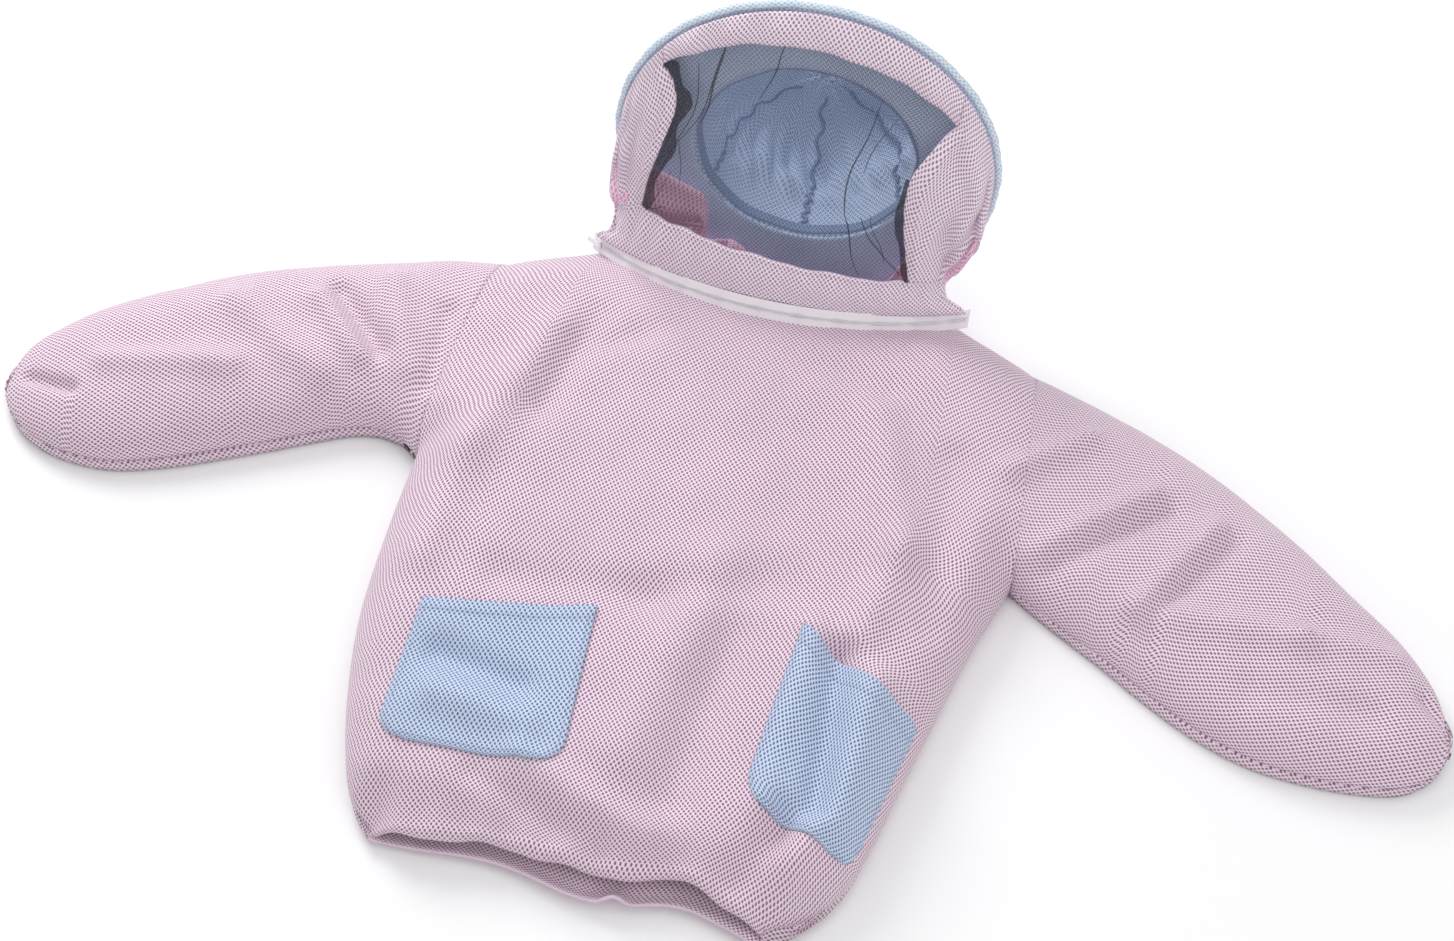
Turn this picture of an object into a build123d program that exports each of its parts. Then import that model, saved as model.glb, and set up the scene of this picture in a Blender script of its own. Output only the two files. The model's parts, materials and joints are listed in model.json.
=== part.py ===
"""A child's beekeeping jacket lying on its back, with its zip-on veil and brimmed hat standing at the neck.

Millimetres. The origin is on the table under the back panel, on the centre line and 56 mm towards the head
from the underarms. +Z is up, +Y is towards the head and +X is the wearer's left.
"""
import os
from math import asin, atan2, cos, degrees, radians, sin

from build123d import *

# Cloth
MESH = 3.0                    # three-layer air mesh
TULLE = 0.8                   # window net
CLEAR = 0.4                   # gap between pieces that are sewn edge to edge
BODY_GAP = 0.5                # gap between pieces that move against each other
BELOW_TABLE = 2.0             # tubes are drawn this far below the table, then cut flat

# A tube's dome, as shares of its half width and height
FOOT_ROUND = 0.25             # how far its foot is tucked in, as a share of its height
SIDE_RISE = 0.30              # height of its widest point
SHOULDER_OUT = 0.80
SHOULDER_RISE = 0.78

# Body tube: position along Y, half width, height of the dome
BODY_STATIONS = [
    (-364.0, 188.0, 36.0),
    (-324.0, 212.0, 48.0),
    (-250.0, 230.0, 56.0),
    (-190.0, 240.0, 58.0),
    (-56.0, 246.0, 58.0),
    (40.0, 275.0, 56.0),
    (123.0, 262.0, 50.0),
    (184.0, 245.0, 18.0),
]
SIDE_SEAM = 12.0              # height at which the front and back panels meet
NECK_CORNER = (151.0, 172.0)
SHOULDER_TIP = (222.0, 136.0)
UNDERARM = (240.0, -56.0)
BACK_NECK_DIP = 18.0          # how far the back neck edge dips below its corners

# Hem and cuffs: a turned casing with an elastic in it
HEM_DEPTH = 22.0
HEM_HALF_WIDTH = 184.0
HEM_HEIGHT = 34.0
HEM_CORNER = 14.0
CUFF_DEPTH = 20.0
CUFF_HALF_WIDTH = 33.0
CUFF_HEIGHT = 27.0
CUFF_STANDS_OUT = 7.0
CASING_WALL = 6.0
ELASTIC = 2.0
ELASTIC_CLEAR = 0.4
ELASTIC_MARGIN = 3.0          # casing beyond each edge of the elastic

# Patch pockets
POCKET_INNER_X = 50.0
POCKET_OUTER_X = 187.0
POCKET_TOP = -170.0
POCKET_BOTTOM = -300.0
POCKET_CORNER = 18.0
POCKET_SWELL = 10.0           # how far the pocket's face stands off the body
POCKET_WALL = 2.5
SEAM_GAP = 0.2

# Sleeves: distance from the armhole, edge towards the feet, edge towards the head, height
SLEEVE_STATIONS = [
    (-70.0, -94.0, 92.0, 44.0),
    (60.0, -80.0, 95.0, 52.0),
    (175.0, -80.0, 86.0, 54.0),
    (290.0, -76.0, 56.0, 50.0),
    (345.0, -56.0, 32.0, 42.0),
    (376.0, -46.0, 24.0, 34.0),
]
LEFT_SLEEVE_DROOP = 24.0      # degrees below straight out
RIGHT_SLEEVE_DROOP = 18.0
RIGHT_SLEEVE_SHARE = 0.965    # the right sleeve is drawn up a little

# Neck zip: an arc in a plane that tilts down towards the head
ZIP_FRONT = (0.0, 123.0, 55.0)
ZIP_SLOPE = 31.5
ZIP_RADIUS = 227.0
TAPE_HALF_ANGLE = 44.0
COIL_HALF_ANGLE = 43.2
TAPE_WIDTH = 5.4
TAPE = 0.8
COIL_RADIUS = 1.3
STOP = (2.4, 3.2, 2.4)
STOP_GAP = 0.1                # degrees between the coil's end and its stop
NECK_EASE = 1.5               # front panel's edge outside the zip's arc
SLIDER_SPACE = 24.0           # room beside the zip for the slider and its swinging tab
SLIDER_STEP = 5.0             # that room's floor below the middle of the coil
SLIDER_PARK = -41.0
SLIDER = (9.0, 8.0, 1.6)
SLIDER_FLOOR = 0.9            # flanges' height above the middle of the coil
SLIDER_ROOF = 1.8
SLIDER_CHANNEL = 4.2
LUG_THICKNESS = 1.2
LUG_SIZE = 3.0
PIN_RADIUS = 0.6
PIN_HEIGHT = 5.2
TAB = (16.0, 4.4, 1.2)
TAB_EYE = 1.6
TAB_BORE = 1.0
TAB_END_HOLE = 1.1

# Hat and veil
BRIM_CENTRE = (11.3, 207.5, 152.3)
BRIM_RADIUS = 153.7
BRIM_TILT = 8.9               # the top leans towards the head
BRIM_TURN = 3.3
BRIM_HALF = MESH / 2
BINDING_HALF = 2.6
BINDING_WIDTH = 4.2
BRIM_INSET = 4.4
HOOP_INSET = 2.3
HOOP_RADIUS = 1.2
HEAD_RADIUS = 89.0
CROWN_WALL_HEIGHT = 52.0
CROWN_HEIGHT = 96.0
CROWN_TOP_RADIUS = 80.0
CROWN_BEND = 0.72             # where the dome bends, as a share of its radius and of its height
CROWN_PANELS = 6
BAND_DEPTH = 25.0
BAND = 2.4
VEIL_RADIUS = 146.5
VEIL_STAND_OFF = 4.8
COLLAR_RISE = 8.0             # collar's lower edge above the middle of the zip
COLLAR_LEAN = 6.0             # how far its ends lean out from the zip
VEIL_BACK_CORNER = (146.0, 172.0, 42.0)
VEIL_BACK_MIDDLE = (165.0, 9.0)
WINDOW_RIGHT = 38.0           # angle round the brim from the wearer's left
WINDOW_LEFT = 140.0
WINDOW_TOP = 0.12             # share of the way from the brim to the neck
WINDOW_BOTTOM = 0.87
GRID = 9                      # rows and columns of points behind each veil surface

FAR = 900.0
OUT = "parts"


def upper_space():
    """Everything above the table."""
    return Pos(0, 0, FAR / 2) * Box(2 * FAR, 2 * FAR, FAR)


def tube_profile(plane, low, high, height, inset, base):
    """A flattened cloth tube in section: flat underneath and domed on top."""
    middle = (low + high) / 2
    half = (high - low) / 2 - inset
    top = height - inset
    foot = half - FOOT_ROUND * top
    rise = top - base
    curve = Spline(
        (middle - foot, base),
        (middle - half, base + SIDE_RISE * rise),
        (middle - SHOULDER_OUT * half, base + SHOULDER_RISE * rise),
        (middle, top),
        (middle + SHOULDER_OUT * half, base + SHOULDER_RISE * rise),
        (middle + half, base + SIDE_RISE * rise),
        (middle + foot, base),
    )
    floor = Line((middle + foot, base), (middle - foot, base))
    return plane * make_face([curve, floor])


def body_plane(y):
    """Section plane across the body, with its second axis upwards."""
    return Plane(origin=(0, y, 0), x_dir=(1, 0, 0), z_dir=(0, -1, 0))


def body_loft(inset, base):
    """The body's dome, drawn in or out by an even amount."""
    return loft([tube_profile(body_plane(y), -half, half, height, inset, base)
                 for y, half, height in BODY_STATIONS])


def plan_prism(points):
    """A tall prism over a closed outline on the table."""
    return Pos(0, 0, -FAR / 2) * extrude(make_face(Polyline(*points, close=True)), amount=FAR)


def shoulder_height_at(x):
    """Y of the shoulder line at a distance from the centre line."""
    slope = (SHOULDER_TIP[1] - NECK_CORNER[1]) / (SHOULDER_TIP[0] - NECK_CORNER[0])
    return NECK_CORNER[1] + slope * (x - NECK_CORNER[0])


def body_outline(inset):
    """The body's outline: sloping shoulders on both sides of a neck that runs on upwards."""
    side = 2 * UNDERARM[0]
    drop = inset / cos(atan2(NECK_CORNER[1] - SHOULDER_TIP[1], SHOULDER_TIP[0] - NECK_CORNER[0]))
    neck = NECK_CORNER[0] - inset
    right = [(side, -FAR), (side, shoulder_height_at(side) - drop), (neck, shoulder_height_at(neck) - drop)]
    right.append((neck, FAR))
    return plan_prism(right + [(-x, y) for x, y in reversed(right)])


def armhole_cut(side, gap):
    """Everything beyond one armhole, moved outwards by `gap`."""
    (tip_x, tip_y), (arm_x, arm_y) = SHOULDER_TIP, UNDERARM
    lean = (arm_x - tip_x) / (tip_y - arm_y)
    top = (tip_x - lean * (FAR - tip_y) + gap, FAR)
    bottom = (arm_x + lean * (FAR + arm_y) + gap, -FAR)
    edge = [top, bottom, (2 * FAR, -FAR), (2 * FAR, FAR)]
    return plan_prism([(side * x, y) for x, y in edge])


def below_seam():
    """Everything under the side seams."""
    return Pos(0, 0, SIDE_SEAM - FAR / 2) * Box(2 * FAR, 2 * FAR, FAR)


def body_shell():
    """The hollow body, open at the hem, the neck and both armholes."""
    outside = (body_loft(0, -BELOW_TABLE) & body_outline(0)) - slider_room(0)
    inside = (body_loft(MESH, MESH) & body_outline(MESH)) - slider_room(MESH)
    shell = (outside & upper_space()) - inside
    return shell - armhole_cut(1, 0) - armhole_cut(-1, 0)


def zip_plane():
    """The tilted plane of the neck zip, centred on the middle of its arc."""
    slope = radians(ZIP_SLOPE)
    _, y, z = ZIP_FRONT
    centre = (0, y + ZIP_RADIUS * cos(slope), z - ZIP_RADIUS * sin(slope))
    return Plane(origin=centre, x_dir=(1, 0, 0), z_dir=(0, sin(slope), cos(slope)))


def zip_point(angle, rise=0.0, out=0.0):
    """A point on the zip's arc: 0 degrees is the middle of the front, positive is the wearer's left."""
    turn = radians(angle)
    reach = ZIP_RADIUS + out
    return zip_plane().from_local_coords(Vector(reach * sin(turn), -reach * cos(turn), rise))


def zip_sweep(section, half_angle):
    """A solid swept round the zip's axis: the section's X is its radius and its Y its height."""
    start = zip_plane() * Rot(0, 0, -90 - half_angle)
    return start * revolve(Plane.XZ * section, Axis.Z, revolution_arc=2 * half_angle)


def slider_room(cloth):
    """The space over the chest beside the zip, with a layer of cloth added all round."""
    floor = Pos(0, 0, -SLIDER_STEP - cloth)
    radius = ZIP_RADIUS + NECK_EASE + SLIDER_SPACE + cloth
    return zip_plane() * floor * Cylinder(radius, FAR, align=(Align.CENTER, Align.CENTER, Align.MIN))


def neck_cut():
    """The front neck hole."""
    return zip_plane() * Cylinder(ZIP_RADIUS + NECK_EASE, FAR)


def back_neck_cut():
    """The shallow back neck hole."""
    corner_x, corner_y = NECK_CORNER
    radius = (corner_x ** 2 + BACK_NECK_DIP ** 2) / (2 * BACK_NECK_DIP)
    return Pos(0, corner_y - BACK_NECK_DIP + radius, 0) * Cylinder(radius, FAR)


def front_panel(shell):
    return shell - below_seam() - neck_cut()


def zip_room():
    """The space that the zip's tapes need beside the panels."""
    height = 2 * (COIL_RADIUS + CLEAR + TAPE_WIDTH + CLEAR)
    return zip_sweep(Pos(ZIP_RADIUS, 0) * Rectangle(2 * NECK_EASE, height), TAPE_HALF_ANGLE + 1)


def back_panel(shell):
    return (shell & below_seam()) - back_neck_cut() - zip_room()


def pocket_outline(side, inset, top):
    """A pocket's outline on the table, with rounded lower corners."""
    width = POCKET_OUTER_X - POCKET_INNER_X - 2 * inset
    height = top - POCKET_BOTTOM - inset
    middle = side * (POCKET_OUTER_X + POCKET_INNER_X) / 2
    patch = Pos(middle, POCKET_BOTTOM + inset + height / 2) * Rectangle(width, height)
    patch = fillet(patch.vertices().group_by(Axis.Y)[0], POCKET_CORNER)
    return extrude(patch, amount=FAR)


def pocket(side):
    """A patch pocket that follows the body and is open at the top."""
    against_body = body_loft(-SEAM_GAP, -BELOW_TABLE)
    patch = body_loft(-POCKET_SWELL, -BELOW_TABLE) - against_body
    hollow = body_loft(POCKET_WALL - POCKET_SWELL, -BELOW_TABLE) - against_body
    room = hollow & pocket_outline(side, POCKET_WALL, POCKET_TOP + POCKET_SWELL)
    return (patch & pocket_outline(side, 0, POCKET_TOP)) - room


def casing(profile, depth):
    """A turned casing and the elastic in it, from a function that gives the middle section at an inset."""
    near = (CASING_WALL - ELASTIC) / 2
    far = near + ELASTIC
    half = depth / 2
    band_half = half - ELASTIC_MARGIN
    ring = extrude(profile(0) - profile(CASING_WALL), amount=half, both=True)
    band = extrude(profile(near) - profile(far), amount=band_half, both=True)
    room = extrude(profile(near - ELASTIC_CLEAR) - profile(far + ELASTIC_CLEAR),
                   amount=band_half + ELASTIC_CLEAR, both=True)
    return ring - room, band


def hem_profile(inset):
    """Section through the middle of the gathered hem, which lies flat on the table."""
    outline = RectangleRounded(2 * (HEM_HALF_WIDTH - inset), HEM_HEIGHT - 2 * inset, HEM_CORNER - inset)
    middle = body_plane(BODY_STATIONS[0][0] - CLEAR - HEM_DEPTH / 2)
    return middle * Pos(0, HEM_HEIGHT / 2) * outline


def hem():
    """The hem's casing and elastic."""
    return casing(hem_profile, HEM_DEPTH)


def sleeve_plane(side, reach):
    """Section plane across a sleeve, with its first axis towards the head and its second upwards."""
    droop = radians(LEFT_SLEEVE_DROOP if side > 0 else RIGHT_SLEEVE_DROOP)
    along = Vector(side * cos(droop), -sin(droop), 0)
    across = Vector(side * sin(droop), cos(droop), 0)
    armhole = Vector(side * (SHOULDER_TIP[0] + UNDERARM[0]) / 2, (SHOULDER_TIP[1] + UNDERARM[1]) / 2, 0)
    reach *= 1 if side > 0 else RIGHT_SLEEVE_SHARE
    return Plane(origin=armhole + along * reach, x_dir=across, z_dir=across.cross(Vector(0, 0, 1)))


def sleeve_loft(side, inset, base, end_wall):
    """A sleeve's tube, drawn in by `inset` and stopped short by `end_wall`."""
    sections = []
    for reach, low, high, height in SLEEVE_STATIONS:
        short = end_wall if reach == SLEEVE_STATIONS[-1][0] else 0
        sections.append(tube_profile(sleeve_plane(side, reach - short), low, high, height, inset, base))
    return loft(sections)


def cuff_profile(side, inset):
    """Section through the middle of a gathered cuff."""
    reach, low, high, _ = SLEEVE_STATIONS[-1]
    middle = (low + high) / 2
    profile = tube_profile(sleeve_plane(side, reach + CUFF_STANDS_OUT - CUFF_DEPTH / 2),
                           middle - CUFF_HALF_WIDTH, middle + CUFF_HALF_WIDTH, CUFF_HEIGHT, inset, inset)
    return Pos(0, 0, MESH) * profile


def cuff(side):
    """One cuff's casing and elastic, tucked into the end of the sleeve."""
    return casing(lambda inset: cuff_profile(side, inset), CUFF_DEPTH)


def sleeve(side):
    """One sleeve: a tube that is open at the armhole and closed round the cuff."""
    outside = sleeve_loft(side, 0, -BELOW_TABLE, 0) & upper_space()
    inside = sleeve_loft(side, MESH, MESH, MESH)
    cuff_hole = extrude(cuff_profile(side, -SEAM_GAP), amount=CUFF_DEPTH, both=True)
    return ((outside - inside) & armhole_cut(side, BODY_GAP)) - cuff_hole


def zip_tape(side):
    """One of the zip's two tapes: -1 is sewn to the body and 1 to the collar."""
    middle = side * (COIL_RADIUS + CLEAR + TAPE_WIDTH / 2)
    return zip_sweep(Pos(ZIP_RADIUS, middle) * Rectangle(TAPE, TAPE_WIDTH), TAPE_HALF_ANGLE)


def zip_coil():
    """The closed coil, drawn as a cord along the zip's arc."""
    return zip_sweep(Pos(ZIP_RADIUS, 0) * Circle(COIL_RADIUS), COIL_HALF_ANGLE)


def zip_frame(angle):
    """A frame on the coil: X along the zip, Y across it towards the collar and Z away from the neck."""
    turn = radians(angle)
    plane = zip_plane()
    along = plane.x_dir * cos(turn) + plane.y_dir * sin(turn)
    out = plane.x_dir * sin(turn) - plane.y_dir * cos(turn)
    return Plane(origin=plane.origin + out * ZIP_RADIUS, x_dir=along, z_dir=out)


def zip_stops():
    """A crimped stop beyond each end of the coil."""
    return [zip_frame(side * (COIL_HALF_ANGLE + degrees(STOP[0] / ZIP_RADIUS) / 2 + STOP_GAP)) * Box(*STOP)
            for side in (-1, 1)]


def zip_slider():
    """The slider: a roof over the coil, a flange down each side and two lugs that hold the pull tab's pin."""
    length, width, roof = SLIDER
    seat = (Align.CENTER, Align.CENTER, Align.MIN)
    body = Pos(0, 0, SLIDER_FLOOR) * Box(length, width, SLIDER_ROOF - SLIDER_FLOOR + roof, align=seat)
    body = fillet(body.edges().filter_by(Axis.Z), width / 4)
    body -= Box(2 * length, SLIDER_CHANNEL, 2 * SLIDER_ROOF)
    spread = TAB[1] / 2 + SEAM_GAP + LUG_THICKNESS / 2
    for side in (-1, 1):
        lug = Pos(0, side * spread, SLIDER_ROOF) * Box(
            LUG_SIZE, LUG_THICKNESS, PIN_HEIGHT - SLIDER_ROOF + LUG_SIZE / 2, align=seat)
        body += lug
    body += Pos(0, 0, PIN_HEIGHT) * Rot(90, 0, 0) * Cylinder(PIN_RADIUS, 2 * spread)
    return zip_frame(SLIDER_PARK) * body


def pull_tab():
    """The pull tab, lying along the zip with its eye round the slider's pin."""
    length, width, thickness = TAB
    blade = Pos(-length / 2, 0, 0) * Box(length, width, thickness)
    blade += Rot(90, 0, 0) * Cylinder(TAB_EYE, width)
    blade -= Rot(90, 0, 0) * Cylinder(TAB_BORE, 2 * width)
    blade -= Pos(TAB_END_HOLE * 2 - length, 0, 0) * Cylinder(TAB_END_HOLE, 2 * thickness)
    return zip_frame(SLIDER_PARK) * Pos(0, 0, PIN_HEIGHT) * blade


def brim_plane():
    """The brim's plane: X to the wearer's left, Y up the face of the brim and Z out of its underside."""
    tilt = radians(BRIM_TILT)
    turn = radians(BRIM_TURN)
    under = Vector(sin(turn) * cos(tilt), -cos(turn) * cos(tilt), sin(tilt))
    return Plane(origin=BRIM_CENTRE, x_dir=Vector(0, 0, 1).cross(under), z_dir=under)


def ring(outer, inner, low, high):
    """A flat ring about the brim's axis."""
    seat = (Align.CENTER, Align.CENTER, Align.MIN)
    height = high - low
    return Pos(0, 0, low) * (Cylinder(outer, height, align=seat) - Cylinder(inner, height, align=seat))


def brim():
    return brim_plane() * ring(BRIM_RADIUS - BRIM_INSET, HEAD_RADIUS - MESH, -BRIM_HALF, BRIM_HALF)


def brim_hoop():
    """The springy hoop that keeps the brim round."""
    return brim_plane() * Torus(BRIM_RADIUS - HOOP_INSET, HOOP_RADIUS)


def edge_binding():
    """The binding folded over the hoop and the brim's edge."""
    outer = BRIM_RADIUS
    rim = ring(outer, outer - BINDING_WIDTH, -BINDING_HALF, BINDING_HALF)
    rim = fillet(rim.edges().filter_by(GeomType.CIRCLE).group_by(SortBy.RADIUS)[-1], BINDING_HALF / 2)
    return brim_plane() * (rim - Torus(outer - HOOP_INSET, HOOP_RADIUS + SEAM_GAP))


def crown_wall(inset, depth):
    """A point of the crown's wall, as radius and height, at a depth below the brim."""
    taper = (HEAD_RADIUS - CROWN_TOP_RADIUS) / CROWN_WALL_HEIGHT
    return HEAD_RADIUS - inset - taper * depth, -BRIM_HALF - SEAM_GAP - depth


def sweatband():
    """The band inside the crown's lower edge."""
    outside = MESH + SEAM_GAP
    corners = [crown_wall(outside, 0), crown_wall(outside, BAND_DEPTH),
               crown_wall(outside + BAND, BAND_DEPTH), crown_wall(outside + BAND, 0)]
    section = make_face(Polyline(*corners, close=True))
    return brim_plane() * revolve(Plane.XZ * section, Axis.Z)


def crown_half_section(inset):
    """Half of the crown's section, from its axis to its wall."""
    rim = crown_wall(inset, 0)
    shoulder = crown_wall(inset, CROWN_WALL_HEIGHT)
    top = rim[1] - CROWN_HEIGHT + inset
    bend = (CROWN_BEND * shoulder[0], shoulder[1] + CROWN_BEND * (top - shoulder[1]))
    sides = Polyline(shoulder, rim, (0, rim[1]), (0, top))
    dome = Spline((0, top), bend, shoulder, tangents=((1, 0), (0.1, 1)))
    return Plane.XZ * make_face([sides, dome])


def crown_panel(number):
    """One of the crown's equal panels, which run from the brim to the middle of the top."""
    share = 360 / CROWN_PANELS
    wedge = revolve(crown_half_section(0), Axis.Z, revolution_arc=share)
    wedge -= revolve(crown_half_section(MESH), Axis.Z)
    return brim_plane() * Rot(0, 0, number * share) * wedge


def brim_point(angle, radius, rise):
    """A point near the brim's underside: 0 degrees is the wearer's left and 90 degrees is the top."""
    turn = radians(angle)
    return brim_plane().from_local_coords(Vector(radius * cos(turn), radius * sin(turn), rise))


def collar_angle(angle):
    """Where the collar lies on the zip's arc, below a place on the front half of the brim."""
    def below(place):
        return degrees(asin(NECK_CORNER[0] / ZIP_RADIUS * cos(radians(place))))
    if angle < WINDOW_RIGHT:
        return below(0) + (below(WINDOW_RIGHT) - below(0)) * angle / WINDOW_RIGHT
    if angle > WINDOW_LEFT:
        return below(180) + (below(WINDOW_LEFT) - below(180)) * (180 - angle) / (180 - WINDOW_LEFT)
    return below(angle)


def neck_loop_point(angle):
    """The veil's lower edge below a place on the brim, at the middle of the cloth."""
    if angle <= 180:
        around = collar_angle(angle)
        return zip_point(around, COLLAR_RISE, COLLAR_LEAN * (around / collar_angle(0)) ** 2)
    corner_x, corner_y, corner_z = VEIL_BACK_CORNER
    middle_y, middle_z = VEIL_BACK_MIDDLE
    dip = -sin(radians(angle))
    return Vector(corner_x * cos(radians(angle)), corner_y + (middle_y - corner_y) * dip,
                  corner_z + (middle_z - corner_z) * dip)


def veil_point(angle, share):
    """A point in the middle of the veil's cloth, part of the way from the brim to the neck."""
    top = brim_point(angle, VEIL_RADIUS, VEIL_STAND_OFF)
    return top + (neck_loop_point(angle) - top) * share


def veil_piece(start, end, top, bottom, thickness):
    """A piece of the veil between two angles round the brim and two shares of its height."""
    rows = []
    for row in range(GRID):
        share = top + (bottom - top) * row / (GRID - 1)
        angles = [start + (end - start) * column / (GRID - 1) for column in range(GRID)]
        rows.append([veil_point(angle, share) for angle in angles])
    surface = Face.make_surface_from_array_of_points(rows)
    return thicken(surface, amount=thickness / 2, both=True)


def veil_pieces():
    """The veil's cloth pieces and its window, sewn edge to edge."""
    gap = CLEAR / 2 / VEIL_RADIUS
    turn = degrees(gap)
    window = (WINDOW_RIGHT + turn, WINDOW_LEFT - turn)
    left_side = veil_piece(turn, WINDOW_RIGHT - turn, 0, WINDOW_BOTTOM - gap, MESH)
    right_side = veil_piece(180 - turn, WINDOW_LEFT + turn, 0, WINDOW_BOTTOM - gap, MESH)
    back = veil_piece(180 + turn, 360 - turn, 0, 1, MESH)
    return {
        "tulle_window": veil_piece(*window, WINDOW_TOP + gap, WINDOW_BOTTOM - gap, TULLE),
        "veil_top_band": veil_piece(*window, 0, WINDOW_TOP - gap, MESH),
        "left_veil_side": left_side,
        "right_veil_side": right_side,
        "veil_back": back - left_side - right_side - zip_room(),
        "collar_band": veil_piece(turn, 180 - turn, WINDOW_BOTTOM + gap, 1, MESH),
    }


def body_pieces():
    """The jacket's body, its pockets and its hem."""
    shell = body_shell()
    hem_casing, hem_elastic = hem()
    return {
        "front_panel": front_panel(shell),
        "back_panel": back_panel(shell),
        "left_pocket": pocket(1),
        "right_pocket": pocket(-1),
        "hem_casing": hem_casing,
        "hem_elastic": hem_elastic,
        "zip_lower_tape": zip_tape(-1),
        "zip_upper_tape": zip_tape(1),
        "zip_coil": zip_coil(),
        "zip_stops": Compound(children=zip_stops()),
    }


def sleeve_pieces():
    """Both sleeves with their cuffs."""
    pieces = {}
    for name, side in (("left", 1), ("right", -1)):
        cuff_casing, cuff_elastic = cuff(side)
        pieces[name + "_sleeve"] = sleeve(side)
        pieces[name + "_cuff_casing"] = cuff_casing
        pieces[name + "_cuff_elastic"] = cuff_elastic
    return pieces


def hat_pieces():
    """The brimmed hat at the top of the veil."""
    pieces = {
        "brim": brim(),
        "brim_hoop": brim_hoop(),
        "brim_binding": edge_binding(),
        "sweatband": sweatband(),
    }
    for number in range(CROWN_PANELS):
        pieces[f"crown_panel_{number + 1}"] = crown_panel(number)
    return pieces


def all_pieces():
    """Every node's solid, by name."""
    pieces = body_pieces() | sleeve_pieces() | veil_pieces() | hat_pieces()
    pieces["zip_slider"] = zip_slider()
    pieces["zip_pull_tab"] = pull_tab()
    return pieces


def main():
    os.makedirs(OUT, exist_ok=True)
    for name, piece in all_pieces().items():
        export_step(piece, os.path.join(OUT, name + ".step"))


if __name__ == "__main__":
    main()
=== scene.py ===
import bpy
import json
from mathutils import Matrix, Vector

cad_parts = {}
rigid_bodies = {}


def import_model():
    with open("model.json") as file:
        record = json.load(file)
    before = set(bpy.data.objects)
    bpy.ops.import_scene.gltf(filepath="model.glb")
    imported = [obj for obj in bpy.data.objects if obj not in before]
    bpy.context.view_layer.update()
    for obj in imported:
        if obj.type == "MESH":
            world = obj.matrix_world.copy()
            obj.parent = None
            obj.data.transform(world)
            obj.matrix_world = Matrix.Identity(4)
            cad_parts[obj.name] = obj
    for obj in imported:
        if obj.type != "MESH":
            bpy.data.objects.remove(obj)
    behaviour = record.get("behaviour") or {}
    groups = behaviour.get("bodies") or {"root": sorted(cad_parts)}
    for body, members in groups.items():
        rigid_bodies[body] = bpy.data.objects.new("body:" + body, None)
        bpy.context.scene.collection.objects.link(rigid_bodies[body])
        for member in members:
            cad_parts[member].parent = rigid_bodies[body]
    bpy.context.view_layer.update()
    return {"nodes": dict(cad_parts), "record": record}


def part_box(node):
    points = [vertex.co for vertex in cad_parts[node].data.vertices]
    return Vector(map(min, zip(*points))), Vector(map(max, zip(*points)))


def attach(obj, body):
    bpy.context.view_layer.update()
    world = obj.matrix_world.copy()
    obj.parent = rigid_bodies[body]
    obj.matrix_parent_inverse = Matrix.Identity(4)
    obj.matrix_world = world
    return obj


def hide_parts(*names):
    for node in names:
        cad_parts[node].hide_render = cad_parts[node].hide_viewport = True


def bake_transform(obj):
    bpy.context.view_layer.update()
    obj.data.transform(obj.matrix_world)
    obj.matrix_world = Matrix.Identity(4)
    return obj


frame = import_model()

import json
import math

import bpy
import numpy as np
from mathutils import Vector

RECORD = frame["record"]

# ---------------- dimensions, in metres
CLOTH = 0.0026                       # thickness of the three-layer air mesh
HOLE_ACROSS, HOLE_ALONG = 0.0038, 0.0049
WELD_DISTANCE = 0.0002
STITCH_LIFT = 0.0018                 # a row of stitches above the middle of its cloth

EDGE_HEIGHT = 0.012                  # side seams, where front and back meet
BACK_HEIGHT = 0.0035                 # back panel above the table
EDGE_ROUND_BODY, EDGE_ROUND_SLEEVE = 0.052, 0.060
SLEEVE_STARTS, SLEEVE_BLENDS = 0.205, 0.06   # body heights change to sleeve heights over this width
CHEST_TOP, CHEST_FLATTENS = 0.060, 0.05      # folds die out from here towards the zip
NECK_REACH = 0.20                    # half width over which the chest flattens
NECK_EDGE = 0.0035                   # the neck edge lies this far below the middle of the zip

HEM_Y = -0.352                       # front hem before it rolls under
HEM_TUCK = 0.012                     # cloth turned in beyond the front hem's roll
HEM_ROLL_SIDE, HEM_ROLL_MORE = 0.0035, 0.0065
HEM_REACH = 0.19                     # half width over which the hem opens
BACK_HEM_PEEK = 0.024                # how far the back hem hangs below the front one
BACK_HEM_LIP, BACK_LIP_WIDTH = 0.0085, 0.012
BACK_HEM_FOLD_X, BACK_HEM_FOLD = 0.012, 0.010

FRONT_SPREAD, UNDER_PEEK = 0.0045, 0.006   # spread of a sleeve's front and under layer at the lower edge
PUFF_STARTS, PUFF_PLEATS = 0.90, 0.0022    # gathers in the last tenth of a sleeve
CUFF_TUCK = 0.016                    # how far the cuff is drawn back under the sleeve's puffed end
POCKET_CORNER, POCKET_HEM = 0.022, 0.012

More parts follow.
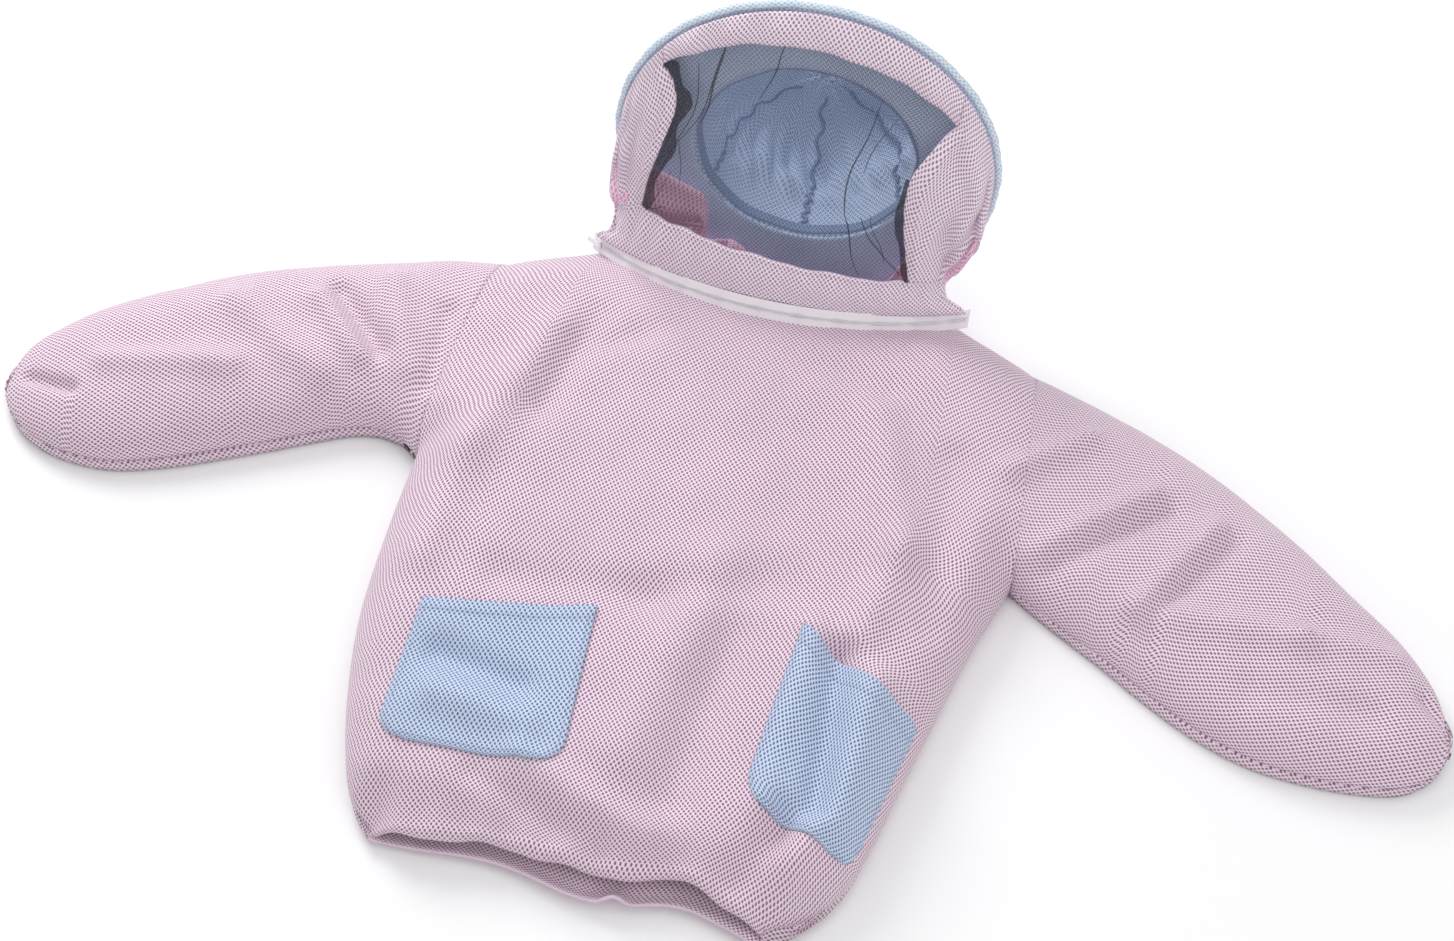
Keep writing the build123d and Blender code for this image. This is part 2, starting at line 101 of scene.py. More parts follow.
# Outlines in plan: the body's sides from hem to underarm and both sleeves; the left side is drawn in
RIGHT_SIDE = [(0.176, -0.366), (0.198, -0.345), (0.212, -0.314), (0.226, -0.268), (0.238, -0.205),
              (0.241, -0.130), (0.240, -0.056)]
LEFT_SIDE = [(0.122, -0.368), (0.150, -0.352), (0.172, -0.325), (0.184, -0.284), (0.195, -0.232),
             (0.207, -0.178), (0.221, -0.118), (0.240, -0.056)]
LEFT_TOP = [(0.222, 0.136), (0.285, 0.116), (0.346, 0.093), (0.400, 0.066), (0.451, 0.034),
            (0.500, -0.002), (0.538, -0.030), (0.566, -0.062), (0.582, -0.097)]
LEFT_BOTTOM = [(0.240, -0.056), (0.276, -0.074), (0.318, -0.093), (0.360, -0.115), (0.401, -0.134),
               (0.440, -0.146), (0.475, -0.150), (0.514, -0.150), (0.548, -0.145), (0.570, -0.132),
               (0.580, -0.115), (0.582, -0.097)]
RIGHT_TOP = [(-0.222, 0.136), (-0.266, 0.127), (-0.309, 0.114), (-0.367, 0.096), (-0.423, 0.075),
             (-0.482, 0.044), (-0.531, 0.012), (-0.562, -0.017), (-0.578, -0.041), (-0.582, -0.070)]
RIGHT_BOTTOM = [(-0.240, -0.056), (-0.262, -0.042), (-0.300, -0.042), (-0.376, -0.076),
                (-0.430, -0.101), (-0.476, -0.117), (-0.516, -0.119), (-0.546, -0.112),
                (-0.566, -0.100), (-0.579, -0.084), (-0.582, -0.070)]
NECK_CORNER = (0.151, 0.172)
SHOULDER = (0.19, 0.156)
# Heights of the front along the body (y, z) and out along the sleeves (distance from the middle, z)
BODY_HEIGHTS = ([-0.386, -0.362, -0.330, -0.280, -0.200, -0.060, 0.060, 0.100, 0.123, 0.172],
                [0.030, 0.040, 0.050, 0.056, 0.060, 0.060, 0.058, 0.054, 0.0475, 0.020])
SLEEVE_HEIGHTS = ([0.20, 0.30, 0.42, 0.52, 0.59], [0.050, 0.052, 0.050, 0.044, 0.036])

FOLD_STRENGTH = 1.5
# Folds of the front: two ends, half width, and height (negative for a valley)
FOLDS = [
    ((-0.156, 0.066), (-0.192, -0.059), 0.020, 0.006),
    ((-0.192, -0.059), (-0.200, -0.161), 0.018, 0.004),
    ((-0.128, 0.090), (-0.148, -0.010), 0.014, -0.005),
    ((0.112, 0.047), (0.154, -0.070), 0.016, 0.006),
    ((0.154, -0.070), (0.139, -0.144), 0.016, 0.006),
    ((0.176, 0.020), (0.190, -0.120), 0.016, -0.005),
    ((-0.136, -0.162), (-0.021, -0.150), 0.016, -0.004),
    ((-0.021, -0.150), (0.057, -0.122), 0.020, -0.005),
    ((-0.090, -0.120), (0.040, -0.105), 0.024, 0.0005),
    ((-0.078, -0.300), (0.022, -0.337), 0.013, 0.006),
    ((-0.110, -0.318), (-0.030, -0.342), 0.010, -0.004),
    ((0.020, -0.130), (-0.008, -0.280), 0.026, 0.006),
    ((0.048, -0.170), (0.036, -0.300), 0.018, -0.006),
    ((-0.060, 0.020), (0.030, -0.100), 0.050, 0.002),
    ((0.128, -0.165), (0.137, -0.285), 0.011, -0.008),
    ((0.160, -0.180), (0.160, -0.290), 0.014, 0.006),
    ((0.104, -0.150), (0.100, -0.290), 0.014, 0.005),
    ((0.120, -0.298), (0.095, -0.345), 0.012, -0.008),
    ((0.140, -0.300), (0.135, -0.345), 0.014, 0.006),
    ((-0.160, -0.236), (-0.095, -0.246), 0.013, -0.006),
    ((-0.152, -0.268), (-0.080, -0.274), 0.014, 0.005),
    ((-0.060, 0.100), (-0.110, 0.060), 0.012, -0.004),
    ((0.060, 0.085), (0.110, 0.070), 0.014, -0.004),
    ((0.221, 0.024), (0.275, 0.070), 0.010, 0.006),
    ((0.334, -0.068), (0.382, 0.015), 0.010, 0.006),
    ((0.350, -0.066), (0.398, 0.010), 0.008, -0.004),
    ((0.334, -0.068), (0.458, -0.062), 0.012, 0.005),
    ((0.458, -0.062), (0.531, -0.052), 0.010, 0.004),
    ((0.250, -0.040), (0.330, 0.030), 0.011, 0.006),
    ((0.262, -0.046), (0.345, 0.022), 0.009, -0.005),
    ((0.430, -0.110), (0.520, -0.105), 0.014, -0.004),
    ((-0.339, 0.059), (-0.290, 0.012), 0.009, -0.007),
    ((-0.352, 0.048), (-0.303, 0.001), 0.010, 0.005),
    ((-0.300, 0.080), (-0.262, 0.000), 0.012, 0.005),
    ((-0.246, 0.060), (-0.240, -0.010), 0.009, -0.005),
    ((-0.420, 0.030), (-0.330, -0.020), 0.014, 0.005),
    ((-0.500, -0.050), (-0.400, -0.030), 0.012, 0.005),
    ((-0.560, -0.072), (-0.520, -0.078), 0.006, -0.007),
    ((0.585, -0.100), (0.556, -0.078), 0.006, -0.006),
]


def joint(name):
    return next(j for j in RECORD["behaviour"]["joints"] if j["name"] == name)


# ---------------- shape helpers
def smooth_step(value, low, high):
    """Nought up to low, one from high on, and an S-shaped rise between them."""
    t = np.clip((value - low) / (high - low), 0, 1)
    return t * t * (3 - 2 * t)


def bell(distance, width):
    """One at no distance, falling away smoothly over about the width."""
    return np.exp(-(distance / width) ** 2)


def arch(share):
    """Nought at both ends of a run from 0 to 1, and one in its middle."""
    return np.sin(share * math.pi)


def waves(place, *terms):
    """A sum of sine waves, each with its height, its turns in radians and its phase."""
    return sum(height * np.sin(turns * place + phase) for height, turns, phase in terms)


def full_circle(count):
    """Angles once round, without repeating the first."""
    return np.linspace(0, 2 * math.pi, count, endpoint=False)


def run_length(path):
    """Distance along a path at each of its points."""
    return np.concatenate([[0], np.cumsum(np.linalg.norm(np.diff(path, axis=0), axis=1))])


CURVE_STEPS = 24                     # points worked out between two given ones


def smooth_curve(points, count):
    """Evenly spaced points on a Catmull-Rom curve."""
    p = np.array(points, float)
    p = np.vstack([2 * p[0] - p[1], p, 2 * p[-1] - p[-2]])
    dense = []
    for i in range(1, len(p) - 2):
        t = np.linspace(0, 1, CURVE_STEPS, endpoint=i == len(p) - 3)[:, None]
        a, b, c, d = p[i - 1], p[i], p[i + 1], p[i + 2]
        dense.append(0.5 * (2 * b + (c - a) * t + (2 * a - 5 * b + 4 * c - d) * t ** 2
                            + (3 * b - a - 3 * c + d) * t ** 3))
    dense = np.vstack(dense)
    run = run_length(dense)
    want = np.linspace(0, run[-1], count)
    return np.stack([np.interp(want, run, dense[:, k]) for k in range(dense.shape[1])], 1)


def new_object(name, vertices, faces, uvs, material):
    """A smooth-shaded mesh with one UV layer in metres."""
    mesh = bpy.data.meshes.new(name)
    mesh.from_pydata([tuple(v) for v in vertices], [], faces)
    layer = mesh.uv_layers.new(name="UVMap")
    loops = np.empty(len(mesh.loops), np.int32)
    mesh.loops.foreach_get("vertex_index", loops)
    layer.data.foreach_set("uv", np.asarray(uvs, np.float32)[loops].ravel())
    mesh.polygons.foreach_set("use_smooth", [True] * len(mesh.polygons))
    mesh.materials.append(material)
    mesh.update()
    obj = bpy.data.objects.new(name, mesh)
    bpy.context.scene.collection.objects.link(obj)
    return obj


def arc_uv(points):
    """UVs for a grid of points, measured on its surface: across along the columns, up along the rows."""
    across = np.linalg.norm(np.diff(points, axis=1), axis=2)
    across = np.concatenate([np.zeros((len(points), 1)), np.cumsum(across, 1)], 1)
    across -= across[:, across.shape[1] // 2][:, None]
    up = np.linalg.norm(np.diff(points, axis=0), axis=2).mean(1)
    up = np.concatenate([[0], np.cumsum(up)])
    return np.stack([across, np.repeat(up[:, None], points.shape[1], 1)], 2)


def grid_faces(rows, cols, start=0, wrap=False, flip=False):
    """Faces between the points of a grid, whose numbers begin at start."""
    faces = []
    for r in range(rows - 1):
        for c in range(cols if wrap else cols - 1):
            d = (c + 1) % cols
            low, high = start + r * cols, start + (r + 1) * cols
            face = (low + c, low + d, high + d, high + c)
            faces.append(face[::-1] if flip else face)
    return faces


def grid_object(name, points, material, uv=None, wrap=False, flip=False):
    """A mesh from a grid of points, rows by columns."""
    uv = arc_uv(points) if uv is None else uv
    rows, cols = points.shape[:2]
    faces = grid_faces(rows, cols, 0, wrap, flip)
    return new_object(name, points.reshape(-1, 3), faces, uv.reshape(-1, 2), material)


def apply_modifiers(obj):
    """Replace a mesh by what its modifiers make of it."""
    graph = bpy.context.evaluated_depsgraph_get()
    mesh = bpy.data.meshes.new_from_object(obj.evaluated_get(graph))
    old = obj.data
    obj.modifiers.clear()
    obj.data = mesh
    bpy.data.meshes.remove(old)
    return obj


def thicken(obj, thickness, offset=-1.0, rim=None):
    """Give a sheet its thickness; the cut edge may have a material of its own."""
    solid = obj.modifiers.new("thickness", "SOLIDIFY")
    solid.thickness = thickness
    solid.offset = offset
    solid.use_even_offset = False
    if rim:
        obj.data.materials.append(rim)
        solid.material_offset_rim = 1
    return apply_modifiers(obj)


def tube(name, path, radii, material, sides=10, closed=False, flat=1.0, up=(0, 0, 1)):
    """A round or flattened rod along a path."""
    path = np.asarray(path, float)
    count = len(path)
    ahead = np.roll(path, -1, 0) - np.roll(path, 1, 0)
    if not closed:
        ahead[0] = path[1] - path[0]
        ahead[-1] = path[-1] - path[-2]
    ahead /= np.linalg.norm(ahead, axis=1)[:, None]
    up = np.broadcast_to(np.asarray(up, float), path.shape)
    side = np.cross(ahead, up)
    side /= np.linalg.norm(side, axis=1)[:, None]
    over = np.cross(side, ahead)
    turn = full_circle(sides)
    radii = np.broadcast_to(np.asarray(radii, float), (count,))
    ring = (side[:, None] * np.cos(turn)[None, :, None]
            + over[:, None] * np.sin(turn)[None, :, None] * flat) * radii[:, None, None]
    points = path[:, None] + ring
    run = run_length(path)
    around = turn * radii.mean()
    uv = np.stack([np.broadcast_to(around, (count, sides)), np.repeat(run[:, None], sides, 1)], 2)
    faces = grid_faces(count, sides, 0, True)
    if closed:
        last = (count - 1) * sides
        faces += [(last + c, last + (c + 1) % sides, (c + 1) % sides, c) for c in range(sides)]
    else:
        faces += [tuple(range(sides))[::-1], tuple((count - 1) * sides + c for c in range(sides))]
    return new_object(name, points.reshape(-1, 3), faces, uv.reshape(-1, 2), material)


# ---------------- materials
def node(tree, kind, **inputs):
    """A new shader node with its settings."""
    made = tree.nodes.new(kind)
    for name, value in inputs.items():
        setattr(made, name, value)
    return made


def maths(tree, operation, a, b=None, c=None):
    """One sum in the shader; each of its terms is a number or another node's output."""
    made = node(tree, "ShaderNodeMath", operation=operation)
    for slot, value in zip(made.inputs, (a, b, c)):
        if value is None:
            continue
        if isinstance(value, (int, float)):
            slot.default_value = value
        else:
            tree.links.new(value, slot)
    return made.outputs[0]


MIX_FACTOR, MIX_A, MIX_B, MIX_RESULT = 0, 6, 7, 2    # a mix node's colour sockets


def mix_colour(tree, factor, a, b):
    """A colour between two, by a factor from 0 to 1."""
    made = node(tree, "ShaderNodeMix", data_type="RGBA")
    for socket, value in ((MIX_FACTOR, factor), (MIX_A, a), (MIX_B, b)):
        slot = made.inputs[socket]
        if isinstance(value, (int, float)):
            slot.default_value = value
        elif isinstance(value, tuple):
            slot.default_value = (*value, 1)
        else:
            tree.links.new(value, slot)
    return made.outputs[MIX_RESULT]


def between(a, b, share):
    """A colour that is a share of the way from one to another."""
    return tuple((1 - share) * x + share * y for x, y in zip(a, b))


def wave_node(tree, place, length):
    """A cosine wave along a shader coordinate."""
    return maths(tree, "COSINE", maths(tree, "MULTIPLY", place, 2 * math.pi / length))


def base_material(name):
    """A new material, its node tree and its shader."""
    made = bpy.data.materials.new(name)
    made.use_nodes = True
    tree = made.node_tree
    shader = tree.nodes["Principled BSDF"]
    return made, tree, shader


def uv_axes(tree):
    """The piece's UVs, in metres, and their two parts."""
    uv = node(tree, "ShaderNodeUVMap", uv_map="UVMap")
    split = node(tree, "ShaderNodeSeparateXYZ")
    tree.links.new(uv.outputs[0], split.inputs[0])
    return uv.outputs[0], split.outputs[0], split.outputs[1]


def noise_value(tree, vector, scale, detail=2.0):
    made = node(tree, "ShaderNodeTexNoise")
    made.inputs["Scale"].default_value = scale
    made.inputs["Detail"].default_value = detail
    tree.links.new(vector, made.inputs["Vector"])
    return made.outputs["Fac"]


def object_vector(tree):
    return node(tree, "ShaderNodeTexCoord").outputs["Object"]


def map_range(tree, value, low, high, new_low, new_high):
    """A smooth change from one range of numbers to another."""
    made = node(tree, "ShaderNodeMapRange", interpolation_type="SMOOTHSTEP")
    for slot, number in zip(made.inputs[1:5], (low, high, new_low, new_high)):
        slot.default_value = number
    tree.links.new(value, made.inputs[0])
    return made.outputs[0]


def bump(tree, shader, height, strength, distance):
    made = node(tree, "ShaderNodeBump")
    made.inputs["Strength"].default_value = strength
    made.inputs["Distance"].default_value = distance
    tree.links.new(height, made.inputs["Height"])
    tree.links.new(made.outputs[0], shader.inputs["Normal"])


def air_mesh(name, yarn, hole_shade, wear):
    """Three-layer air mesh: a centred lattice of oval holes in pale yarn over an under layer; the holes are
    coloured darker, as painted shade down in the holes.
    """
    made, tree, shader = base_material(name)
    uv, across, along = uv_axes(tree)
    wobble = noise_value(tree, uv, 160.0, 1.0)
    shift = maths(tree, "MULTIPLY_ADD", wobble, 0.0008, -0.0004)
    wave_x = wave_node(tree, maths(tree, "ADD", across, shift), HOLE_ACROSS)
    wave_y = wave_node(tree, maths(tree, "ADD", along, shift), HOLE_ALONG)
    lattice = maths(tree, "MULTIPLY", wave_x, wave_y)
    holes = map_range(tree, lattice, -0.06, 0.52, 0.0, 1.0)
    fuzz = noise_value(tree, uv, 2600.0, 2.0)
    patches = noise_value(tree, object_vector(tree), 14.0, 3.0)
    soiled = map_range(tree, patches, 0.35, 0.75, 0.0, wear)
    top = mix_colour(tree, map_range(tree, fuzz, 0.3, 0.75, 0.0, 0.30), yarn, between(yarn, hole_shade, 0.18))
    # the holes get the darker hole colour: painted shade down in the holes
    cloth = mix_colour(tree, holes, top, hole_shade)
    worn = mix_colour(tree, soiled, cloth, between(yarn, hole_shade, 0.45))
    tree.links.new(worn, shader.inputs["Base Color"])
    rough = map_range(tree, fuzz, 0.2, 0.8, 0.72, 0.92)
    tree.links.new(rough, shader.inputs["Roughness"])
    shader.inputs["Sheen Weight"].default_value = 0.25
    shader.inputs["Sheen Roughness"].default_value = 0.5
    shader.inputs["Specular IOR Level"].default_value = 0.25
    height = maths(tree, "MULTIPLY_ADD", fuzz, 0.25, maths(tree, "MULTIPLY", holes, -1.0))
    bump(tree, shader, height, 0.55, 0.0007)
    return made


def plain_weave(name, colour, shade, thread, rough, sheen=0.2):
    """A close woven or braided cloth with fine lengthwise ribs."""
    made, tree, shader = base_material(name)
    _, across, along = uv_axes(tree)
    ribs = wave_node(tree, across, thread)
    picks = wave_node(tree, along, thread * 0.6)
    weave = maths(tree, "MULTIPLY_ADD", picks, 0.35, ribs)
    stain = noise_value(tree, object_vector(tree), 60.0, 3.0)
    mixed = maths(tree, "MULTIPLY_ADD", stain, 0.5, map_range(tree, weave, -1.2, 1.2, 0.6, 0.0))
    tree.links.new(mix_colour(tree, mixed, colour, shade), shader.inputs["Base Color"])
    tree.links.new(map_range(tree, stain, 0.2, 0.8, rough, rough + 0.12), shader.inputs["Roughness"])
    shader.inputs["Sheen Weight"].default_value = sheen
    bump(tree, shader, weave, 0.4, 0.0002)
    return made


BLACK = (0.0, 0.0, 0.0)


def moulded(name, colour, rough):
    """A small plastic part with fine handling marks."""
    made, tree, shader = base_material(name)
    place = object_vector(tree)
    scuff = noise_value(tree, place, 900.0, 3.0)
    cloud = noise_value(tree, place, 90.0, 2.0)
    handled = mix_colour(tree, map_range(tree, cloud, 0.3, 0.8, 0.0, 0.25),
                         colour, between(colour, BLACK, 0.14))
    tree.links.new(handled, shader.inputs["Base Color"])
    tree.links.new(map_range(tree, scuff, 0.3, 0.7, rough, rough + 0.2), shader.inputs["Roughness"])
    bump(tree, shader, scuff, 0.15, 0.0001)
    return made


def net(name, colour, cell, cover):
    """Open net: thin crossed threads with clear holes; cover is about how much of it is thread."""
    made, tree, shader = base_material(name)
    uv, across, along = uv_axes(tree)
    wave = maths(tree, "MULTIPLY", wave_node(tree, across, cell), wave_node(tree, along, cell * 1.25))
    cloud = noise_value(tree, uv, 25.0, 3.0)
    denser = 0.30 * (cover - 0.5)
    threads = map_range(tree, wave, -0.10 + denser, 0.30 + denser, 1.0, 0.0)
    alpha = maths(tree, "MULTIPLY", maths(tree, "MULTIPLY_ADD", cloud, 0.35, cover - 0.10), threads)
    seen = maths(tree, "MINIMUM", maths(tree, "ADD", alpha, cover * 0.30), 1.0)
    tree.links.new(seen, shader.inputs["Alpha"])
    faded = tuple(1.6 * c for c in colour)
    tree.links.new(mix_colour(tree, cloud, colour, faded), shader.inputs["Base Color"])
    tree.links.new(map_range(tree, cloud, 0.3, 0.7, 0.55, 0.8), shader.inputs["Roughness"])
    bump(tree, shader, wave, 0.3, 0.0002)
    return made


# The second colour of each air mesh is its holes' colour, painted shade down in the holes
PINK = air_mesh("pink air mesh", (0.86, 0.70, 0.81), (0.25, 0.13, 0.21), 0.10)
PINK_INSIDE = air_mesh("pink air mesh, inner face", (0.98, 0.66, 0.83), (0.60, 0.30, 0.46), 0.12)
# A lighter copy of the pink air mesh: painted light on the veil's pieces, which face away from the key light
PINK_VEIL_PAINTED_LIGHT = air_mesh("pink air mesh, veil, painted lighter", (0.97, 0.85, 0.95), (0.34, 0.22, 0.31), 0.08)
BLUE = air_mesh("blue air mesh", (0.60, 0.69, 0.90), (0.12, 0.17, 0.27), 0.10)
BLUE_CROWN = air_mesh("blue air mesh, inner face", (0.66, 0.78, 0.98), (0.36, 0.45, 0.64), 0.16)
BLUE_SEAM = air_mesh("blue air mesh, seams and hatband", (0.34, 0.43, 0.62), (0.18, 0.24, 0.38), 0.16)
BINDING = air_mesh("blue binding", (0.76, 0.85, 0.94), (0.46, 0.58, 0.70), 0.10)
TAPE = plain_weave("white zip tape", (0.99, 0.96, 0.99), (0.90, 0.85, 0.90), 0.0011, 0.62)
ELASTIC = plain_weave("white elastic", (0.82, 0.82, 0.80), (0.62, 0.62, 0.60), 0.0016, 0.7)
PLASTIC = moulded("white nylon", (0.86, 0.85, 0.87), 0.38)
TULLE = net("black tulle", (0.020, 0.020, 0.026), 0.0021, 0.36)
TULLE_EDGE = net("gathered black tulle", (0.014, 0.014, 0.018), 0.0015, 0.80)
PINK_THREAD = plain_weave("pink thread", (0.86, 0.70, 0.82), (0.66, 0.48, 0.62), 0.0004, 0.6)
BLUE_THREAD = plain_weave("blue thread", (0.66, 0.78, 0.92), (0.45, 0.56, 0.72), 0.0004, 0.6)


# ---------------- the jacket's surface
SIDE_POINTS, EDGE_POINTS, NECK_POINTS = 60, 80, 20   # points along each part of the outline


def side_x(y, side):
    """Half width of the body on one side, out to the armhole seam above the underarm."""
    curve = smooth_curve(LEFT_SIDE if side > 0 else RIGHT_SIDE, SIDE_POINTS)
    (tip_x, tip_y), (arm_x, arm_y) = LEFT_TOP[0], LEFT_BOTTOM[0]
    armhole = np.interp(y, [arm_y, tip_y], [arm_x, tip_x])
    return np.where(y < arm_y, np.interp(y, curve[:, 1], curve[:, 0]), armhole)


def zip_line(x):
    """Y and Z of the middle of the zip above a place across the chest."""
    drop = np.sqrt(np.maximum(ZIP_RADIUS ** 2 - np.asarray(x) ** 2, 0))
    return ZIP_CENTRE[1] - ZIP_DOWN[1] * drop, ZIP_CENTRE[2] - ZIP_DOWN[2] * drop


coil_low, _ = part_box("zip_coil")
ZIP_CENTRE = np.array(joint("zip_slider_travel")["pos_m"])
ZIP_AXIS = np.array(joint("zip_slider_travel")["axis"])
ZIP_DOWN = np.array([0.0, ZIP_AXIS[2], -ZIP_AXIS[1]])    # from the middle of the front to the zip's centre
COIL_THICK = 0.0013
ZIP_RADIUS = float((ZIP_CENTRE[1] - coil_low.y - COIL_THICK) / ZIP_AXIS[2])


def lower_edge(side, count, spread):
    """A sleeve's lower edge, spread outwards most in the middle of its length."""
    edge = smooth_curve(LEFT_BOTTOM if side > 0 else RIGHT_BOTTOM, count)
    along = np.gradient(edge, axis=0)
    along /= np.linalg.norm(along, axis=1)[:, None]
    out = np.stack([along[:, 1], -along[:, 0]], 1) * side
    return edge + out * spread * np.sin(np.linspace(0, 1, count) * math.pi)[:, None]


def outline():
    """The outer edge on each side, from the neck round the sleeve to the hem."""
    runs = []
    for side, top, edge in ((1, LEFT_TOP, LEFT_SIDE), (-1, RIGHT_TOP, RIGHT_SIDE)):
        neck = [(side * NECK_CORNER[0], NECK_CORNER[1]), (side * SHOULDER[0], SHOULDER[1]), top[0]]
        edge = [(side * x, y) for x, y in edge]
        runs.append(np.vstack([smooth_curve(neck, NECK_POINTS), smooth_curve(top, EDGE_POINTS),
                               lower_edge(side, EDGE_POINTS, FRONT_SPREAD)[::-1],
                               smooth_curve(edge, SIDE_POINTS)[::-1]]))
    return runs


OUTLINES = outline()


def edge_distance(x, y):
    """Distance to the nearest outer edge."""
    flat = np.stack([x.ravel(), y.ravel()], 1)
    best = np.full(len(flat), np.inf)
    for run in OUTLINES:
        a, b = run[:-1], run[1:]
        step = b - a
        size = np.maximum((step ** 2).sum(1), 1e-12)
        for start, d, s in zip(a, step, size):
            t = np.clip(((flat - start) @ d) / s, 0, 1)
            away = flat - start - t[:, None] * d
            best = np.minimum(best, np.hypot(away[:, 0], away[:, 1]))
    return best.reshape(x.shape)


def fold_height(x, y):
    """Height of all the folds together."""
    total = np.zeros_like(x)
    for (ax, ay), (bx, by), width, height in FOLDS:
        d = np.array([bx - ax, by - ay])
        size = float(d @ d)
        t = ((x - ax) * d[0] + (y - ay) * d[1]) / size
        near = np.clip(t, 0, 1)
        away = np.hypot(x - ax - near * d[0], y - ay - near * d[1])
        total += FOLD_STRENGTH * height * bell(away, width)
    return total


def ripple(x, y):
    """Slow unevenness of cloth that lies loose, from a few crossed waves."""
    return (0.0016 * np.sin(31 * x + 17 * y + 0.6) * np.sin(23 * y - 9 * x + 1.1)
            + 0.0011 * np.sin(57 * x - 38 * y + 2.0) * np.sin(49 * y + 14 * x)
            + 0.0006 * np.sin(103 * x + 61 * y) * np.sin(88 * y - 47 * x + 0.4))


def front_height(x, y):
    """Height of the jacket's front above the table."""
    distance = edge_distance(x, y)
    sleeve = smooth_step(np.abs(x), SLEEVE_STARTS, SLEEVE_STARTS + SLEEVE_BLENDS)
    tall = (1 - sleeve) * np.interp(y, *BODY_HEIGHTS) + sleeve * np.interp(np.abs(x), *SLEEVE_HEIGHTS)
    reach = (1 - sleeve) * EDGE_ROUND_BODY + sleeve * EDGE_ROUND_SLEEVE
    near = np.clip(distance / reach, 0, 1)
    dome = np.sqrt(np.maximum(1 - (1 - near) ** 2, 0))
    neck = np.clip((y - CHEST_TOP) / CHEST_FLATTENS, 0, 1) * (np.abs(x) < NECK_REACH)
    loose = dome * (1 - neck)
    return EDGE_HEIGHT + (tall - EDGE_HEIGHT) * dome + loose * (fold_height(x, y) + ripple(x, y))


def body_grid(rows, cols):
    """Plan positions over the body, from hem to neck and shoulders, closer together at the sides."""
    crowd = 0.92 * math.pi / 2
    u = np.sin(np.linspace(-1, 1, cols) * crowd) / math.sin(crowd)
    v = np.linspace(0, 1, rows)
    tip_x = LEFT_TOP[0][0]
    top_x = u * tip_x
    zip_y, _ = zip_line(np.clip(top_x, -NECK_CORNER[0], NECK_CORNER[0]))
    shoulder = np.interp(np.abs(top_x), [NECK_CORNER[0], tip_x], [NECK_CORNER[1], LEFT_TOP[0][1]])
    top_y = np.where(np.abs(top_x) < NECK_CORNER[0], zip_y - NECK_EDGE, shoulder)
    hem_y = HEM_Y + waves(u, (0.004, 2.2, 0.6), (-0.003, 7, math.pi / 2))
    y = hem_y[None] + (top_y - hem_y)[None] * v[:, None]
    left_y = np.interp(v, [0, 1], [LEFT_SIDE[0][1], LEFT_TOP[0][1]])[:, None]
    right_y = np.interp(v, [0, 1], [RIGHT_SIDE[0][1], LEFT_TOP[0][1]])[:, None]
    side_y = np.where(u[None] > 0, left_y, right_y)
    width = np.where(u[None] > 0, side_x(left_y, 1), side_x(right_y, -1))
    share = np.abs(u[None])
    x = np.where(u[None] > 0, 1, -1) * share * width
    at_side = share ** 6
    return x, y * (1 - at_side) + side_y * at_side


ROLL_LOWEST = 0.0075                 # the hem's roll rests on the back panel


def rolled_edge(edge, radius, tuck, rows):
    """Rows that turn a front edge down and back underneath it, innermost first."""
    turn = np.linspace(1, 0, rows)[:, None] * math.pi
    radius = np.broadcast_to(radius, edge.shape[:1])[None]
    y = edge[None, :, 1] - radius * np.sin(turn)
    z = edge[None, :, 2] - radius * (1 - np.cos(turn))
    x = np.broadcast_to(edge[None, :, 0], y.shape)
    curl = np.stack([x, y, np.maximum(z, ROLL_LOWEST)], 2)
    inner = curl[:1] + np.array([0, tuck, 0])
    return np.concatenate([inner, curl[:-1]])


RIM_SHARPNESS = 18                   # how suddenly a back panel rises to its side seam


def body_mesh():
    """Front and back of the body, with a gathered hem rolled under in front and a shallow lip behind."""
    rows, cols, roll = 150, 150, 12
    x, y = body_grid(rows, cols)
    gather = smooth_step(-y, -HEM_Y - 0.034, -HEM_Y + 0.006)
    pleats = 0.0030 * np.sin(88 * x + 2.0 * np.sin(31 * x)) + waves(x, (0.0014, 197, 1))
    z = front_height(x, y) * (1 - 0.22 * gather) + gather * pleats
    front = np.stack([x, y, z], 2)
    opening = np.clip(1 - np.abs(x[0]) / HEM_REACH, 0, 1) ** 0.5
    radius = HEM_ROLL_SIDE + HEM_ROLL_MORE * opening + waves(x[0], (0.0012, 88, 0))
    front = np.concatenate([rolled_edge(front[0], radius, HEM_TUCK, roll), front])
    sag = smooth_step(-y, 0.28, 0.36) * np.clip(1.15 - np.abs(x) / 0.17, 0, 1) ** 0.5
    back_y = y - (BACK_HEM_PEEK + waves(x, (0.004, 19, 1))) * sag
    lip = BACK_HEM_LIP * np.clip(1 - (back_y - back_y[:1]) / BACK_LIP_WIDTH, 0, 1) ** 2 * opening[None]
    kink = BACK_HEM_FOLD * bell(x - BACK_HEM_FOLD_X, 0.008) * smooth_step(-y, 0.335, 0.36)
    back = np.stack([x, back_y + 0.5 * kink, BACK_HEIGHT + lip + kink], 2)
    rim = np.abs(np.linspace(-1, 1, cols)) ** RIM_SHARPNESS
    back[:, :, 2] += (EDGE_HEIGHT - BACK_HEIGHT) * rim[None]
    back[:, 0] = front[roll:, 0]
    back[:, -1] = front[roll:, -1]
    shoulder = np.abs(x[-1]) > NECK_CORNER[0]
    back[-1, shoulder] = front[-1, shoulder]
    uv_front, uv_back = arc_uv(front), arc_uv(back)
    points = np.concatenate([front.reshape(-1, 3), back.reshape(-1, 3)])
    uvs = np.concatenate([uv_front.reshape(-1, 2), uv_back.reshape(-1, 2)])
    start = len(front) * cols
    faces = grid_faces(len(front), cols) + grid_faces(rows, cols, start, flip=True)
    return points, faces, uvs


